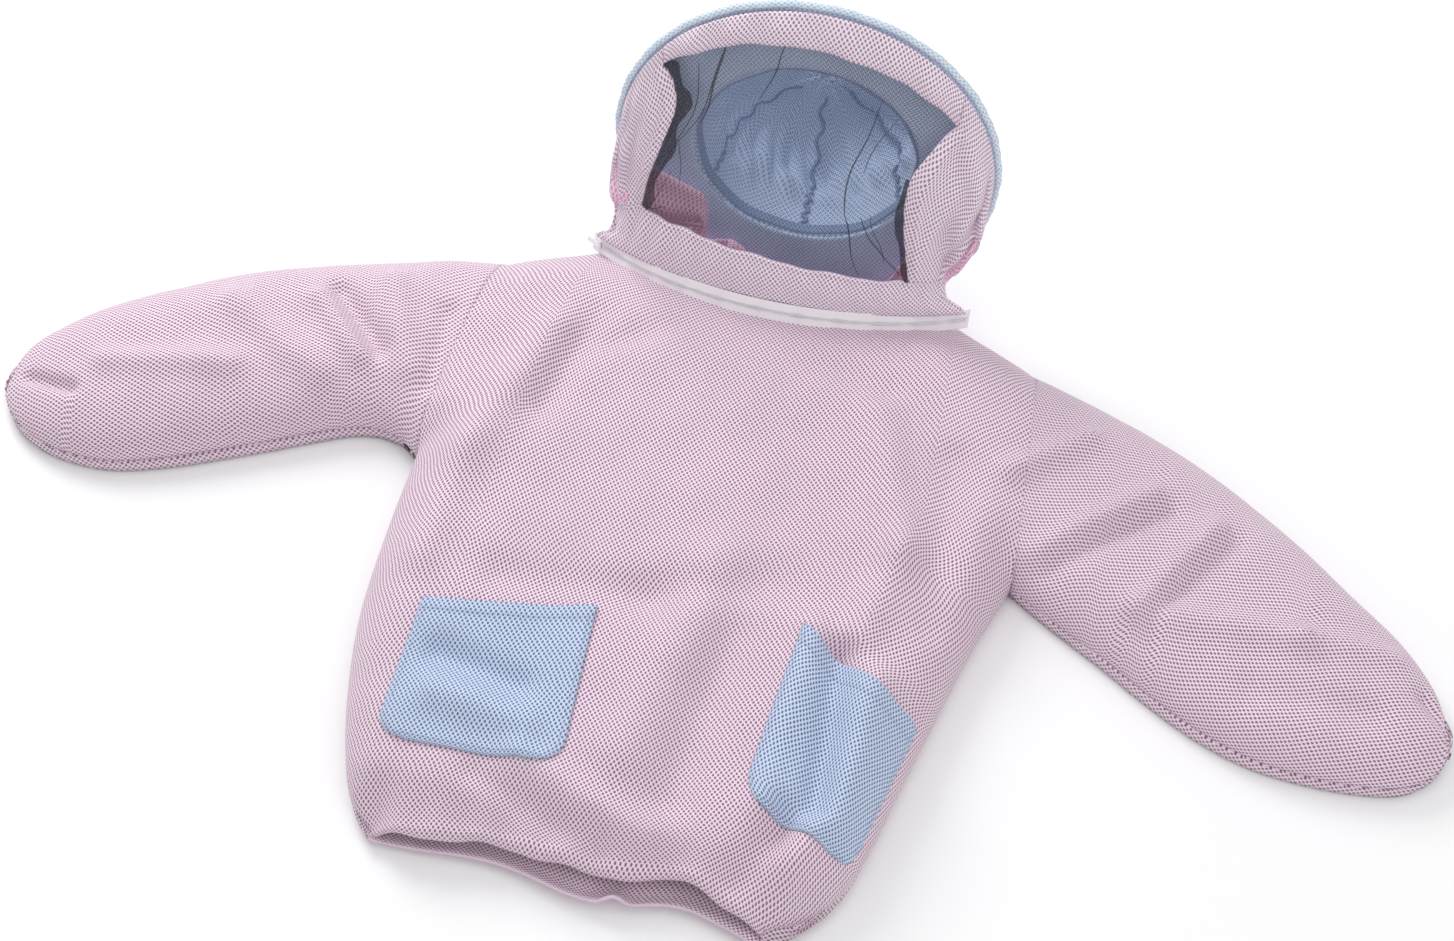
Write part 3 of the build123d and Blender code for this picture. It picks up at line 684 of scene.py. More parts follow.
def sleeve_uv(points):
    """UVs whose weave runs straight along the sleeve."""
    axis = points[-1].mean(0)[:2] - points[0].mean(0)[:2]
    axis /= np.linalg.norm(axis)
    uv = arc_uv(points)
    uv[..., 1] = points[..., :2] @ axis
    return uv


LOW_EDGE_HEIGHT = 0.0045             # lower edge of a sleeve, almost on the table


def sleeve_mesh(side):
    """One sleeve as a closed tube from its armhole seam to the puffed end."""
    rows, cols, roll_cols = 100, 72, 8
    top = smooth_curve(LEFT_TOP if side > 0 else RIGHT_TOP, rows)
    bottom = lower_edge(side, rows, FRONT_SPREAD)
    t = 0.5 - 0.5 * np.cos(np.linspace(0, 1, cols) * math.pi)
    plan = bottom[:, None] * (1 - t)[None, :, None] + top[:, None] * t[None, :, None]
    x, y = plan[..., 0], plan[..., 1]
    z = front_height(x, y)
    end = np.clip((np.linspace(0, 1, rows) - PUFF_STARTS) / (1 - PUFF_STARTS), 0, 1)[:, None]
    z = z + end * waves(t, (PUFF_PLEATS, 52, 0))[None] * arch(t)[None]
    front = np.stack([x, y, z], 2)
    low = lower_edge(side, rows, UNDER_PEEK)
    under_plan = low[:, None] * (1 - t)[None, :, None] + top[:, None] * t[None, :, None]
    under = np.concatenate([under_plan, np.full((*x.shape, 1), BACK_HEIGHT)], 2)
    under[..., 2] += (EDGE_HEIGHT - BACK_HEIGHT) * (2 * t - 1)[None] ** RIM_SHARPNESS
    under[:, 0, 2] = LOW_EDGE_HEIGHT
    under[:, -1] = front[:, -1]
    turn = np.linspace(0, math.pi / 2, roll_cols + 1)[:-1]
    edge, seam = under[:, :1], front[:, :1]
    roll = edge + (seam - edge) * np.stack([np.sin(turn)] * 2 + [1 - np.cos(turn)], 1)[None]
    front = np.concatenate([roll, front], 1)
    points = np.concatenate([front.reshape(-1, 3), under.reshape(-1, 3)])
    uvs = np.concatenate([sleeve_uv(front).reshape(-1, 2), sleeve_uv(under).reshape(-1, 2)])
    faces = grid_faces(rows, cols + roll_cols, flip=side > 0)
    faces += grid_faces(rows, cols, rows * (cols + roll_cols), flip=side < 0)
    return points, faces, uvs


def cloth_piece(name, made, material):
    """A closed piece of clothing, its seams welded and its cloth given thickness."""
    points, faces, uvs = made
    obj = new_object(name, points, faces, uvs, material)
    weld = obj.modifiers.new("weld", "WELD")
    weld.merge_threshold = WELD_DISTANCE
    apply_modifiers(obj)
    return thicken(obj, CLOTH, rim=PINK_THREAD)


body = cloth_piece("jacket_body", body_mesh(), PINK)
left_sleeve = cloth_piece("left_sleeve_cloth", sleeve_mesh(1), PINK)
right_sleeve = cloth_piece("right_sleeve_cloth", sleeve_mesh(-1), PINK)
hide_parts("front_panel", "back_panel", "hem_casing")
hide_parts("left_sleeve")
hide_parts("right_sleeve")
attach(body, "jacket")


# ---------------- pockets
def on_front(x, y, lift):
    """Points a little above the jacket's front."""
    return np.stack([x, y, front_height(x, y) + lift], -1)


# Each pocket's corners on the front: upper right of the wearer, upper left, lower left, lower right
POCKETS = {
    "left_pocket": [(0.097, -0.150), (0.200, -0.200), (0.176, -0.320), (0.084, -0.290)],
    "right_pocket": [(-0.184, -0.197), (-0.056, -0.170), (-0.047, -0.302), (-0.188, -0.308)],
}


POCKET_REACH, POCKET_BEND = 0.992, 0.96      # shares of the body's half width: limit, start of the wrap
POCKET_DIP = 0.005                   # sag of the pocket's mouth
POCKET_EDGE = 0.006                  # width over which the sewn edge rises
POCKET_LIFT, POCKET_PUFF, POCKET_SLACK, POCKET_HEM_STEP = 0.0019, 0.0016, 0.0030, 0.0010


def pocket_piece(name):
    """A patch pocket with a folded top hem and rounded lower corners, bulging a little."""
    rows, cols, seam = 60, 64, 2
    top_right, top_left, low_left, low_right = np.array(POCKETS[name])
    width = np.linalg.norm(top_left - top_right)
    height = np.linalg.norm(top_left - low_left)
    rise = np.linspace(0, height, rows)
    u = np.linspace(-1, 1, cols)
    into_corner = np.maximum(POCKET_CORNER - rise, 0)
    half = width / 2 - POCKET_CORNER + np.sqrt(np.maximum(POCKET_CORNER ** 2 - into_corner ** 2, 0))
    s = (0.5 + u[None] * half[:, None] / width)[..., None]
    t = (rise / height)[:, None, None]
    plan = (low_right * (1 - s) + low_left * s) * (1 - t) + (top_right * (1 - s) + top_left * s) * t
    x, y = plan[..., 0], plan[..., 1] - POCKET_DIP * arch(s[..., 0]) * t[..., 0]
    limit = POCKET_REACH * side_x(y, 1)
    bend = POCKET_BEND * limit
    x = np.minimum(np.where(x > bend, bend + 0.5 * (x - bend), x), limit)
    inside = np.minimum(half[:, None] * (1 - np.abs(u[None])), rise[:, None])
    edge = np.minimum(inside, POCKET_EDGE) / POCKET_EDGE
    slack = arch(s[..., 0]) * t[..., 0] ** 2
    hem = smooth_step(rise, height - POCKET_HEM, height - POCKET_HEM + 0.002)[:, None]
    lift = POCKET_LIFT + POCKET_PUFF * np.sqrt(edge) + POCKET_SLACK * slack + POCKET_HEM_STEP * hem
    points = on_front(x, y, lift)
    made = grid_object(name + "_patch", points, BLUE)
    thicken(made, CLOTH, rim=BLUE_THREAD)
    row = rows - 1 - int(round(POCKET_HEM / height * rows))
    sides = [points[::-1, seam], points[seam, seam:-seam], points[:, -seam - 1]]
    sides = np.concatenate(sides) + [0, 0, 0.0006]
    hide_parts(name)
    for piece in (made, stitches(name + "_hem_stitches", points[row] + [0, 0, 0.0008], BLUE_THREAD),
                  stitches(name + "_edge_stitches", sides, BLUE_THREAD)):
        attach(piece, "jacket")


TINY = 1e-6


def stitches(name, path, material, length=0.0026, gap=0.0012, radius=0.00032):
    """A row of short raised stitches along a path."""
    path = np.asarray(path, float)
    run = run_length(path)
    count = max(2, int(run[-1] / (length + gap)))
    vertices, faces = [], []
    lift = np.array([0, 0, radius])
    for k in range(count):
        start = k * (length + gap)
        ends = [np.array([np.interp(s, run, path[:, i]) for i in range(3)])
                for s in (start, start + length / 2, start + length)]
        ahead = ends[2] - ends[0]
        if np.linalg.norm(ahead) < TINY:
            continue
        side = np.cross(ahead / np.linalg.norm(ahead), [0, 0, 1.0])
        side *= radius / max(np.linalg.norm(side), TINY)
        base = len(vertices)
        vertices += [ends[0], ends[1] - side, ends[2], ends[1] + side, ends[1] + 2 * lift]
        faces += [(base, base + 1, base + 4), (base + 1, base + 2, base + 4), (base + 2, base + 3, base + 4),
                  (base + 3, base, base + 4), (base + 3, base + 2, base + 1, base)]
    uvs = [(v[0], v[1]) for v in vertices]
    return new_object(name, vertices, faces, uvs, material)


pocket_piece("left_pocket")
pocket_piece("right_pocket")


# ---------------- neck zip
def zip_point(angle, rise, out=0.0):
    """A point by its angle from the middle of the front, in radians, towards the wearer's left."""
    reach = ZIP_RADIUS + out
    angle, rise, reach = np.broadcast_arrays(angle, rise, reach)
    return (ZIP_CENTRE + reach[..., None] * (np.sin(angle)[..., None] * np.array([1.0, 0, 0])
                                             - np.cos(angle)[..., None] * ZIP_DOWN)
            + rise[..., None] * ZIP_AXIS)


ZIP_END = math.asin(float(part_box("zip_lower_tape")[1].x) / (ZIP_RADIUS + 0.0004))
CORNER_ANGLE = math.asin(NECK_CORNER[0] / ZIP_RADIUS)


TAPE_THICK, TAPE_OUT, COIL_OUT = 0.0008, 0.0024, 0.0028
TAPE_EDGE, TAPE_MIDDLE = 0.0082, 0.0006
COIL_ENDS = 0.014                    # angle of bare tape beyond the coil


def zip_tape(name, low, high):
    """A woven tape whose edge is slightly uneven."""
    angles = np.linspace(-ZIP_END, ZIP_END, 240)
    rises = np.linspace(low, high, 9)
    wave = waves(angles, (0.0004, 41, 0), (0.0003, 87, 1))
    points = zip_point(angles[None], rises[:, None] + wave[None] * 0.5, wave[None] + TAPE_OUT)
    made = grid_object(name + "_weave", points, TAPE, arc_uv(points)[..., ::-1].copy())
    thicken(made, TAPE_THICK, 0)
    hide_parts(name)
    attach(made, "jacket")


def zip_coil():
    """Two interlocked spirals of white nylon on their cord."""
    turn_length, radius, wire, turn_points = 0.0016, 0.0011, 0.00034, 8
    end = ZIP_END - COIL_ENDS
    turns = int(2 * end * ZIP_RADIUS / turn_length)
    for number, sway in ((1, -TAPE_MIDDLE), (2, TAPE_MIDDLE)):
        phase = np.linspace(0, turns * 2 * math.pi, turns * turn_points)
        angle = np.linspace(-end, end, len(phase))
        path = zip_point(angle, sway + radius * np.cos(phase + number * math.pi),
                         COIL_OUT + 0.75 * radius * np.sin(phase))
        made = tube(f"zip_coil_{number}", path, wire, PLASTIC, 5, up=ZIP_AXIS)
        if number == 1:
            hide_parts("zip_coil")
        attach(made, "jacket")


zip_tape("zip_lower_tape", -TAPE_EDGE, -TAPE_MIDDLE)
zip_tape("zip_upper_tape", TAPE_MIDDLE, TAPE_EDGE)
zip_coil()


# ---------------- hat
BRIM_TILT, BRIM_TURN = math.radians(8.9), math.radians(3.3)
UNDER = np.array([math.sin(BRIM_TURN) * math.cos(BRIM_TILT), -math.cos(BRIM_TURN) * math.cos(BRIM_TILT),
                  math.sin(BRIM_TILT)])
ACROSS = np.cross([0, 0, 1.0], UNDER)
ACROSS /= np.linalg.norm(ACROSS)
UPWARD = np.cross(UNDER, ACROSS)
hoop_low, hoop_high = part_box("brim_hoop")
BRIM_CENTRE = np.array((hoop_low + hoop_high) / 2)
rim_low, rim_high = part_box("brim_binding")
BRIM_RADIUS = float((rim_high.z - rim_low.z) / 2 / math.cos(BRIM_TILT)) - 0.0004
BRIM_FRONT = 0.0040                  # veil seam in front of the brim's middle
HEAD_RADIUS = 0.0915
CROWN_PANELS, CROWN_DEPTH = 6, 0.094
WALL_SHARE, WALL_DROP, WALL_TAPER = 0.62, 0.052, 0.009   # the crown's straight wall below its top


def brim_point(angle, radius, rise):
    """A point by its angle from the wearer's left, distance from the brim's middle and height off it."""
    angle, radius, rise = np.broadcast_arrays(angle, radius, rise)
    return (BRIM_CENTRE + (radius * np.cos(angle))[..., None] * ACROSS
            + (radius * np.sin(angle))[..., None] * UPWARD + rise[..., None] * UNDER)


def brim_piece():
    """Two layers of mesh, slightly wavy towards the hoop."""
    rows = 18
    angles = full_circle(160)
    radii = np.linspace(HEAD_RADIUS - 0.0012, BRIM_RADIUS - 0.0045, rows)
    wave = waves(angles, (0.0016, 5, 0.7), (0.0010, 9, 0))
    share = np.linspace(0, 1, rows)[:, None]
    points = brim_point(angles[None], radii[:, None], wave[None] * arch(share) * 0.8)
    uv = np.stack([radii[:, None] * np.cos(angles)[None], radii[:, None] * np.sin(angles)[None]], 2)
    made = grid_object("hat_brim", points, BLUE_CROWN, uv, wrap=True)
    thicken(made, CLOTH, 0)
    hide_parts("brim")
    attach(made, "hood")


def binding_piece():
    """A folded edge binding round the hoop, a little puckered by its stitches."""
    thick = 0.0029
    angles = full_circle(260)
    pucker = waves(angles, (0.0003, 64, 0), (0.0003, 23, 0))
    path = brim_point(angles, BRIM_RADIUS - 0.0026 + pucker, 0)
    made = tube("brim_edge_binding", path, thick, BINDING, 14, closed=True, flat=0.86, up=UNDER)
    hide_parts("brim_binding")
    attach(made, "hood")
    seam = brim_point(np.linspace(0, 2 * math.pi, 900), BRIM_RADIUS - 0.0044, 0.0024)
    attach(stitches("brim_binding_stitches", seam, BLUE_THREAD), "hood")


FIRST_SEAM = math.radians(30)


def crown_piece():
    """A soft crown: raised seams, panels slack between them, and a dent in the top."""
    cols, rows, narrowest = 192, 64, 0.0008
    angles = full_circle(cols)
    depth = np.linspace(0, 1, rows)
    wall = np.minimum(depth / WALL_SHARE, 1)
    over = np.clip((depth - WALL_SHARE) / (1 - WALL_SHARE), 0, 1)
    radius = (HEAD_RADIUS - WALL_TAPER * wall) * np.cos(over * math.pi / 2) ** 0.85
    drop = WALL_DROP * wall + (CROWN_DEPTH - WALL_DROP) * np.sin(over * math.pi / 2)
    radius = np.maximum(radius, narrowest)
    seam = np.abs(np.cos(CROWN_PANELS / 2 * (angles - FIRST_SEAM)))
    slack = (1 - seam ** 6)[None] * arch(depth)[:, None]
    crumple = (0.0042 * np.sin(5 * angles[None] + 9 * depth[:, None]) * np.sin(7 * depth[:, None] + 1)
               + 0.0028 * np.sin(13 * angles[None] - 8 * depth[:, None]) * depth[:, None]
               + 0.0016 * np.sin(29 * angles[None] + 17 * depth[:, None]))
    soft = smooth_step(depth, 0.22, 0.50)[:, None]
    high = np.clip(np.sin(angles), 0, 1)[None]
    radius, drop = radius[:, None], drop[:, None]
    radial = radius * (1 - 0.050 * soft * slack) + crumple * soft * np.minimum(radius / 0.03, 1)
    fall = drop - 0.010 * soft * high * arch(depth)[:, None] - 0.3 * crumple * soft
    points = brim_point(np.broadcast_to(angles, radial.shape), radial, -fall - 0.002)
    slant = run_length(np.hstack([radius, drop]))
    uv = np.stack(np.meshgrid(angles * HEAD_RADIUS * 0.8, slant), 2)
    made = grid_object("hat_crown", points, BLUE_CROWN, uv, wrap=True, flip=True)
    thicken(made, CLOTH, -1)
    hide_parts(*[f"crown_panel_{n + 1}" for n in range(CROWN_PANELS)])
    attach(made, "hood")
    for number in range(CROWN_PANELS):
        place = round(cols * (FIRST_SEAM / (2 * math.pi) + number / CROWN_PANELS))
        turn = angles[place]
        inward = -math.cos(turn) * ACROSS - math.sin(turn) * UPWARD
        sideways = math.cos(turn) * UPWARD - math.sin(turn) * ACROSS
        sewn = np.arange(8, rows - 3)
        pucker = waves(sewn, (0.0024, 0.9, number))[:, None] * sideways
        path = points[sewn, place] + 0.0030 * inward + 0.0022 * UNDER + pucker
        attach(tube(f"crown_seam_{number + 1}", path, 0.0016, BLUE_SEAM, 8), "hood")


def sweatband_piece():
    """A narrow band inside the crown's lower edge."""
    angles = full_circle(160)
    depth = np.linspace(0.001, 0.009, 6)[:, None]
    wave = waves(angles, (0.0006, 11, 0), (0.0005, 5, 0))
    points = brim_point(angles[None], HEAD_RADIUS - 0.0042 - 0.17 * depth + wave[None], -depth)
    uv = np.stack(np.meshgrid(angles * HEAD_RADIUS, depth[:, 0]), 2)
    made = grid_object("hat_sweatband", points, BLUE_SEAM, uv, wrap=True, flip=True)
    thicken(made, 0.0018, 0)
    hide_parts("sweatband")
    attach(made, "hood")


brim_piece()
binding_piece()
crown_piece()
sweatband_piece()


# ---------------- veil
VEIL_RADIUS = 0.1475
COLLAR_RISE, COLLAR_LEAN = 0.0080, 0.006
BACK_CORNER = (0.146, 0.172, 0.040)  # ends of the neck seam behind the zip
BACK_MIDDLE = (0.1655, 0.010)        # y and z of its middle

# The window's edges: degrees round the brim from the wearer's left, share of the way from brim to neck
WINDOW_TOP = [(38, 0.13), (62, 0.125), (88, 0.115), (110, 0.105), (126, 0.10), (140, 0.075)]
WINDOW_BOTTOM = [(42, 0.855), (65, 0.865), (95, 0.85), (122, 0.81), (143, 0.75)]
WINDOW_RIGHT = [(38, 0.13), (45, 0.26), (52, 0.46), (50, 0.64), (42, 0.855)]
WINDOW_LEFT = [(140, 0.075), (134, 0.19), (131, 0.31), (135, 0.46), (140, 0.61), (143, 0.75)]
COLLAR_TOP = [(-4, 0.80), (20, 0.83)] + WINDOW_BOTTOM + [(165, 0.73), (184, 0.72)]


def collar_angle(angle):
    """Where the collar lies on the zip's arc, below a place on the brim's front half."""
    return np.arcsin(NECK_CORNER[0] / ZIP_RADIUS * np.cos(angle))


def neck_loop(angle):
    """The veil's lower edge: above the zip in front, and the sewn seam behind."""
    front = np.clip(angle, 0, math.pi)
    around = collar_angle(front)
    over = zip_point(around, COLLAR_RISE, COLLAR_LEAN * (around / CORNER_ANGLE) ** 2)
    dip = np.clip(-np.sin(angle), 0, 1)[..., None]
    corner = np.stack([BACK_CORNER[0] * np.cos(angle), np.full(angle.shape, BACK_CORNER[1]),
                       np.full(angle.shape, BACK_CORNER[2])], -1)
    middle = np.stack([BACK_CORNER[0] * np.cos(angle), np.full(angle.shape, BACK_MIDDLE[0]),
                       np.full(angle.shape, BACK_MIDDLE[1])], -1)
    under = corner * (1 - dip) + middle * dip
    return np.where((angle <= math.pi)[..., None], over, under)


DRAWN_LEFT, DRAWN_RIGHT = 0.021, 0.011   # how far the veil is drawn in above the zip's ends


def veil_surface(angle, share):
    """The cloth between brim and neck: drawn in above the collar's ends and a little slack elsewhere."""
    angle, share = np.broadcast_arrays(angle, share)
    k = share[..., None]
    points = brim_point(angle, VEIL_RADIUS, BRIM_FRONT) * (1 - k) + neck_loop(angle) * k
    drawn = bell(share - 0.80, 0.24) * (1 - smooth_step(share, 0.90, 1.0))
    side = np.cos(angle)
    inward = np.where(side > 0, DRAWN_LEFT, -DRAWN_RIGHT) * np.abs(side) ** 4 * drawn
    points = points - inward[..., None] * np.array([1.0, 0, 0])
    middle = arch(np.clip(share, 0, 1))
    flank = np.clip(np.abs(side) - 0.70, 0, 0.3) / 0.3
    slack = 0.007 * flank * arch(np.clip(share / 0.7, 0, 1))
    creases = (0.0022 * np.sin(15 * angle + 6 * share) + 0.0014 * np.sin(29 * angle - 9 * share + 1)) * middle
    creases = creases + 0.0020 * flank * np.sin(20 * share + 9 * angle) * middle
    return points + (slack + creases)[..., None] * UNDER


ANGLE_SCALE = 100                    # degrees that count as much as the whole way from brim to neck
WINDOW_EDGE_POINTS = 120


def edge_points(edge, count):
    """An edge's angles in radians and its shares, evenly spaced."""
    curve = smooth_curve([(a / ANGLE_SCALE, s) for a, s in edge], count)
    return np.radians(curve[:, 0] * ANGLE_SCALE), curve[:, 1]


def across_edge(edge, angle):
    """Share of an edge that runs round the brim, at each angle."""
    at, share = edge_points(edge, WINDOW_EDGE_POINTS)
    return np.interp(angle, at, share)


def up_edge(edge, share):
    """Angle of an edge that runs down the veil, at each share."""
    at, along = edge_points(edge, WINDOW_EDGE_POINTS)
    return np.interp(share, along, at)


def veil_piece(name, nodes, angle, share, material, thickness, lift=0.0):
    """A piece of the veil's surface and its grid of points."""
    points = veil_surface(angle, share) + np.asarray(lift)[..., None] * UNDER
    made = grid_object(name, points, material)
    if thickness:
        thicken(made, thickness, 0, PINK_THREAD)
    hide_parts(*nodes)
    return made, points


def top_band():
    """The band between the brim and the window, puffed a little."""
    angle = np.linspace(*np.radians([WINDOW_TOP[0][0], WINDOW_TOP[-1][0]]), 120)[None]
    t = np.linspace(0, 1, 14)[:, None]
    share = t * across_edge(WINDOW_TOP, angle)
    puff = (0.0030 + waves(angle, (0.0014, 23, 0))) * arch(t)
    made, points = veil_piece("veil_top_band_cloth", ["veil_top_band"], angle, share, PINK_VEIL_PAINTED_LIGHT, CLOTH, puff)
    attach(made, "hood")
    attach(stitches("window_top_stitches", points[-2] + UNDER * STITCH_LIFT, PINK_THREAD), "hood")


COLLAR_SHARE = 0.86                  # about where the collar's top lies


def veil_side(name, edge, outer):
    """A side panel, from the window round to the seam with the back panel."""
    t = np.linspace(0, 1, 80)[:, None]
    w = np.linspace(0, 1, 50)[None]
    # the angle of a point and its share depend on each other, so each is worked out from the other in turn
    angle = up_edge(edge, t * COLLAR_SHARE) * (1 - w) + outer * w
    share = t * across_edge(COLLAR_TOP, angle)
    angle = up_edge(edge, share) * (1 - w) + outer * w
    fold = 0.0035 * bell(w - 0.09, 0.05) * arch(t)
    crease = 0.0032 * bell(w - 0.62 - waves(t, (0.10, 4, 0)), 0.07) * arch(t)
    made, points = veil_piece(name + "_cloth", [name], angle, share, PINK_VEIL_PAINTED_LIGHT, CLOTH, fold - crease)
    seam = points[2:-1, 5] + UNDER * STITCH_LIFT
    if outer < 1:
        seam = seam[::-1]
    return [made, stitches(name + "_stitches", seam, PINK_THREAD)]


def veil_back():
    """The back of the veil: a pleat folded inwards on the wearer's right, and two slack places."""
    turn = np.linspace(0, 1, 120)[None]
    angle = math.pi * (1 + turn)
    share = np.linspace(0, 1, 44)[:, None]
    points = veil_surface(angle, share)
    bulge = arch(share) * arch(turn)
    folds = waves(angle, (0.003, 26, 0), (0.0015, 61, 0))
    points = points + (folds * bulge)[..., None] * np.array([0, -0.8, 0.6])
    pleat = smooth_step(turn, 0, 0.07) * bell(np.maximum(turn - 0.07, 0), 0.20)
    pleat = 0.068 * pleat * smooth_step(share, 0, 0.22) * (1 - smooth_step(share, 0.50, 1.0))
    low_left = 0.038 * bell(turn - 0.38, 0.12) * arch(share)
    low_right = 0.050 * bell(turn - 0.75, 0.06) * arch(share)
    points = points + pleat[..., None] * ACROSS + (low_left + low_right)[..., None] * UPWARD
    points[..., 2] = np.maximum(points[..., 2], BACK_HEIGHT)
    made = grid_object("veil_back_cloth", points, PINK_INSIDE)
    thicken(made, CLOTH, 0)
    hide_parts("veil_back")
    return made


def collar():
    """The band between the window and the zip."""
    angle = np.linspace(0.0, math.pi, 220)[None]
    t = np.linspace(0, 1, 18)[:, None]
    top = across_edge(COLLAR_TOP, angle)
    share = top + (1 - top) * t
    roll = (0.0020 + waves(angle, (0.0007, 37, 0))) * arch(t)
    made, points = veil_piece("collar_band_cloth", ["collar_band"], angle, share, PINK_VEIL_PAINTED_LIGHT, CLOTH, roll)
    seam = stitches("collar_stitches", points[1, 6:-6] + UNDER * 0.0020, PINK_THREAD)
    return [made, seam]


def window_grid(rows, cols):
    """Angles and shares inside the window, blended between its four edges."""
    u = np.linspace(0, 1, cols)[None]
    v = np.linspace(0, 1, rows)[:, None]
    made = []
    for part in (0, 1):
        top = edge_points(WINDOW_TOP, cols)[part][None]
        bottom = edge_points(WINDOW_BOTTOM, cols)[part][None]
        right = edge_points(WINDOW_RIGHT, rows)[part][:, None]
        left = edge_points(WINDOW_LEFT, rows)[part][:, None]
        corners = ((1 - u) * (1 - v) * top[0, 0] + u * (1 - v) * top[0, -1]
                   + (1 - u) * v * bottom[0, 0] + u * v * bottom[0, -1])
        made.append((1 - v) * top + v * bottom + (1 - u) * right + u * left - corners)
    return made[0], made[1], u, v


# Pleats in the window: two ends as shares across and down it, width at each end in metres
PLEATS = [
    ((0.76, 0.00), (0.86, 0.42), 0.0022, 0.0010),
    ((0.76, 0.00), (0.93, 0.60), 0.0012, 0.0006),
    ((0.86, 0.06), (0.97, 0.80), 0.0010, 0.0005),
    ((0.58, 0.00), (0.65, 0.30), 0.0014, 0.0008),
    ((0.25, 0.13), (0.24, 0.72), 0.0007, 0.0018),
    ((0.24, 0.72), (0.20, 0.98), 0.0018, 0.0006),
    ((0.17, 0.20), (0.19, 0.50), 0.0006, 0.0010),
    ((0.18, 0.70), (0.04, 0.97), 0.0012, 0.0012),
    ((0.14, 0.66), (0.10, 0.90), 0.0006, 0.0010),
    ((0.92, 0.55), (0.84, 0.78), 0.0008, 0.0005),
    ((0.98, 0.98), (0.88, 0.93), 0.0012, 0.0006),
    ((0.90, 0.72), (0.93, 0.92), 0.0005, 0.0008),
]


PLEAT_LIFT, PLEAT_RIDGE = 0.0006, 0.0008
# Gathered hems down the window's sides: column's share, way inwards, greatest width, first and last share
SIDE_HEMS = [(0, 1, 0.010, 0.46, 1.0), (1, -1, 0.019, 0.0, 1.0)]
WINDOW_WIDTH = 0.22                  # about, to turn a width into a share


def window():
    """The net window, slack between its pleats, with gathered hems down both sides."""
    rows, cols, inside_grid = 110, 170, 0.001
    angle, share, u, v = window_grid(rows, cols)
    inside = arch(u) ** 0.5 * arch(v) ** 0.6
    near = bell(u, 0.16) + bell(1 - u, 0.2)
    folds = (0.0026 * near * np.sin(60 * u + 9 * v) + 0.0018 * np.sin(17 * u + 3 * v)
             + 0.0009 * np.sin(41 * u - 6 * v))
    slack = folds * inside - 0.005 * arch(u) * arch(v)
    made, points = veil_piece("tulle_window_net", ["tulle_window"], angle, share, TULLE, 0, slack)
    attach(made, "hood")

    def at(place):
        """The window's surface at shares across and down."""
        col = np.clip(place[:, 0] * (cols - 1), 0, cols - 1 - inside_grid)
        row = np.clip(place[:, 1] * (rows - 1), 0, rows - 1 - inside_grid)
        c, r = col.astype(int), row.astype(int)
        fc, fr = (col - c)[:, None], (row - r)[:, None]
        return ((points[r, c] * (1 - fc) + points[r, c + 1] * fc) * (1 - fr)
                + (points[r + 1, c] * (1 - fc) + points[r + 1, c + 1] * fc) * fr)

    for number, (start, end, first, last) in enumerate(PLEATS):
        t = np.linspace(0, 1, 40)[:, None]
        place = np.array(start) * (1 - t) + np.array(end) * t
        place[:, 0] += (waves(t, (0.012, 3, number)) * arch(t))[:, 0]
        path = at(place)
        width = (first * (1 - t) + last * t) * (0.35 + 0.65 * arch(t) ** 0.5)
        strip = path[:, None] + (np.linspace(-0.5, 0.5, 3)[None] * width)[..., None] * ACROSS
        strip = strip + (PLEAT_LIFT + PLEAT_RIDGE * np.array([0, 1, 0])[None, :, None]) * UNDER
        piece = grid_object(f"tulle_pleat_{number + 1}", strip, TULLE_EDGE)
        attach(piece, "hood")
    for number, (column, reach, widest, first, last) in enumerate(SIDE_HEMS):
        t = np.linspace(first, last, 90)
        run = np.maximum(arch((t - first) / (last - first)), 0) ** 0.4
        width = widest * (0.34 + 0.66 * run * (0.65 + waves(t, (0.35, 21, number))))
        place = np.stack([np.full(t.shape, column), t], 1)
        inner = place.copy()
        inner[:, 0] += reach * width / WINDOW_WIDTH
        a, b = at(place), at(inner)
        w = np.linspace(0, 1, 7)[None, :, None]
        strip = a[:, None] * (1 - w) + b[:, None] * w
        gather = 0.0012 * np.sin(w * 14 + 60 * t[:, None, None]) + 0.0012
        piece = grid_object(f"tulle_side_hem_{number + 1}", strip + gather * UNDER, TULLE_EDGE)
        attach(piece, "hood")


top_band()
collar_band, collar_seam = collar()
back_of_veil = veil_back()
for piece in (*veil_side("left_veil_side", WINDOW_RIGHT, 0.0),
              *veil_side("right_veil_side", WINDOW_LEFT, math.pi), collar_seam):
    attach(piece, "hood")
window()

# ---------------- elastics and cuffs
HEM_ELASTIC_ENDS, HEM_ELASTIC_HALF = (-0.150, 0.100), 0.0042
CUFF_WIDE, CUFF_TALL, CUFF_LONG = 0.0290, 0.0090, 0.020      # half width, half height and length
CUFF_HEIGHT, CUFF_LOWEST = 0.0125, 0.0030
CUFF_ELASTIC_WIDE, CUFF_ELASTIC_TALL, CUFF_ELASTIC_HALF = 0.024, 0.0055, 0.0036
CUFF_DROOP = {1: math.radians(24), -1: math.radians(18)}     # how far the left and the right sleeve point down
TOWARDS_TOP = np.array([0, 0, 1.0])


def hem_elastic():
    """A flat elastic that runs round inside the hem."""
    across = np.linspace(*HEM_ELASTIC_ENDS, 120)
    here = np.ones(across.shape)
    front_z = front_height(across, HEM_Y * here) * 0.78 - 0.0085
    front = np.stack([across, (HEM_Y + 0.006) * here, front_z + waves(across, (0.0010, 160, 0))], 1)
    back = np.stack([across[::-1], (HEM_Y + 0.016) * here, (BACK_HEIGHT + 0.0036) * here], 1)
    path = np.concatenate([front, back])
    made = tube("hem_elastic_band", path, HEM_ELASTIC_HALF, ELASTIC, 10, closed=True, flat=0.26)
    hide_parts("hem_elastic")
    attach(made, "jacket")


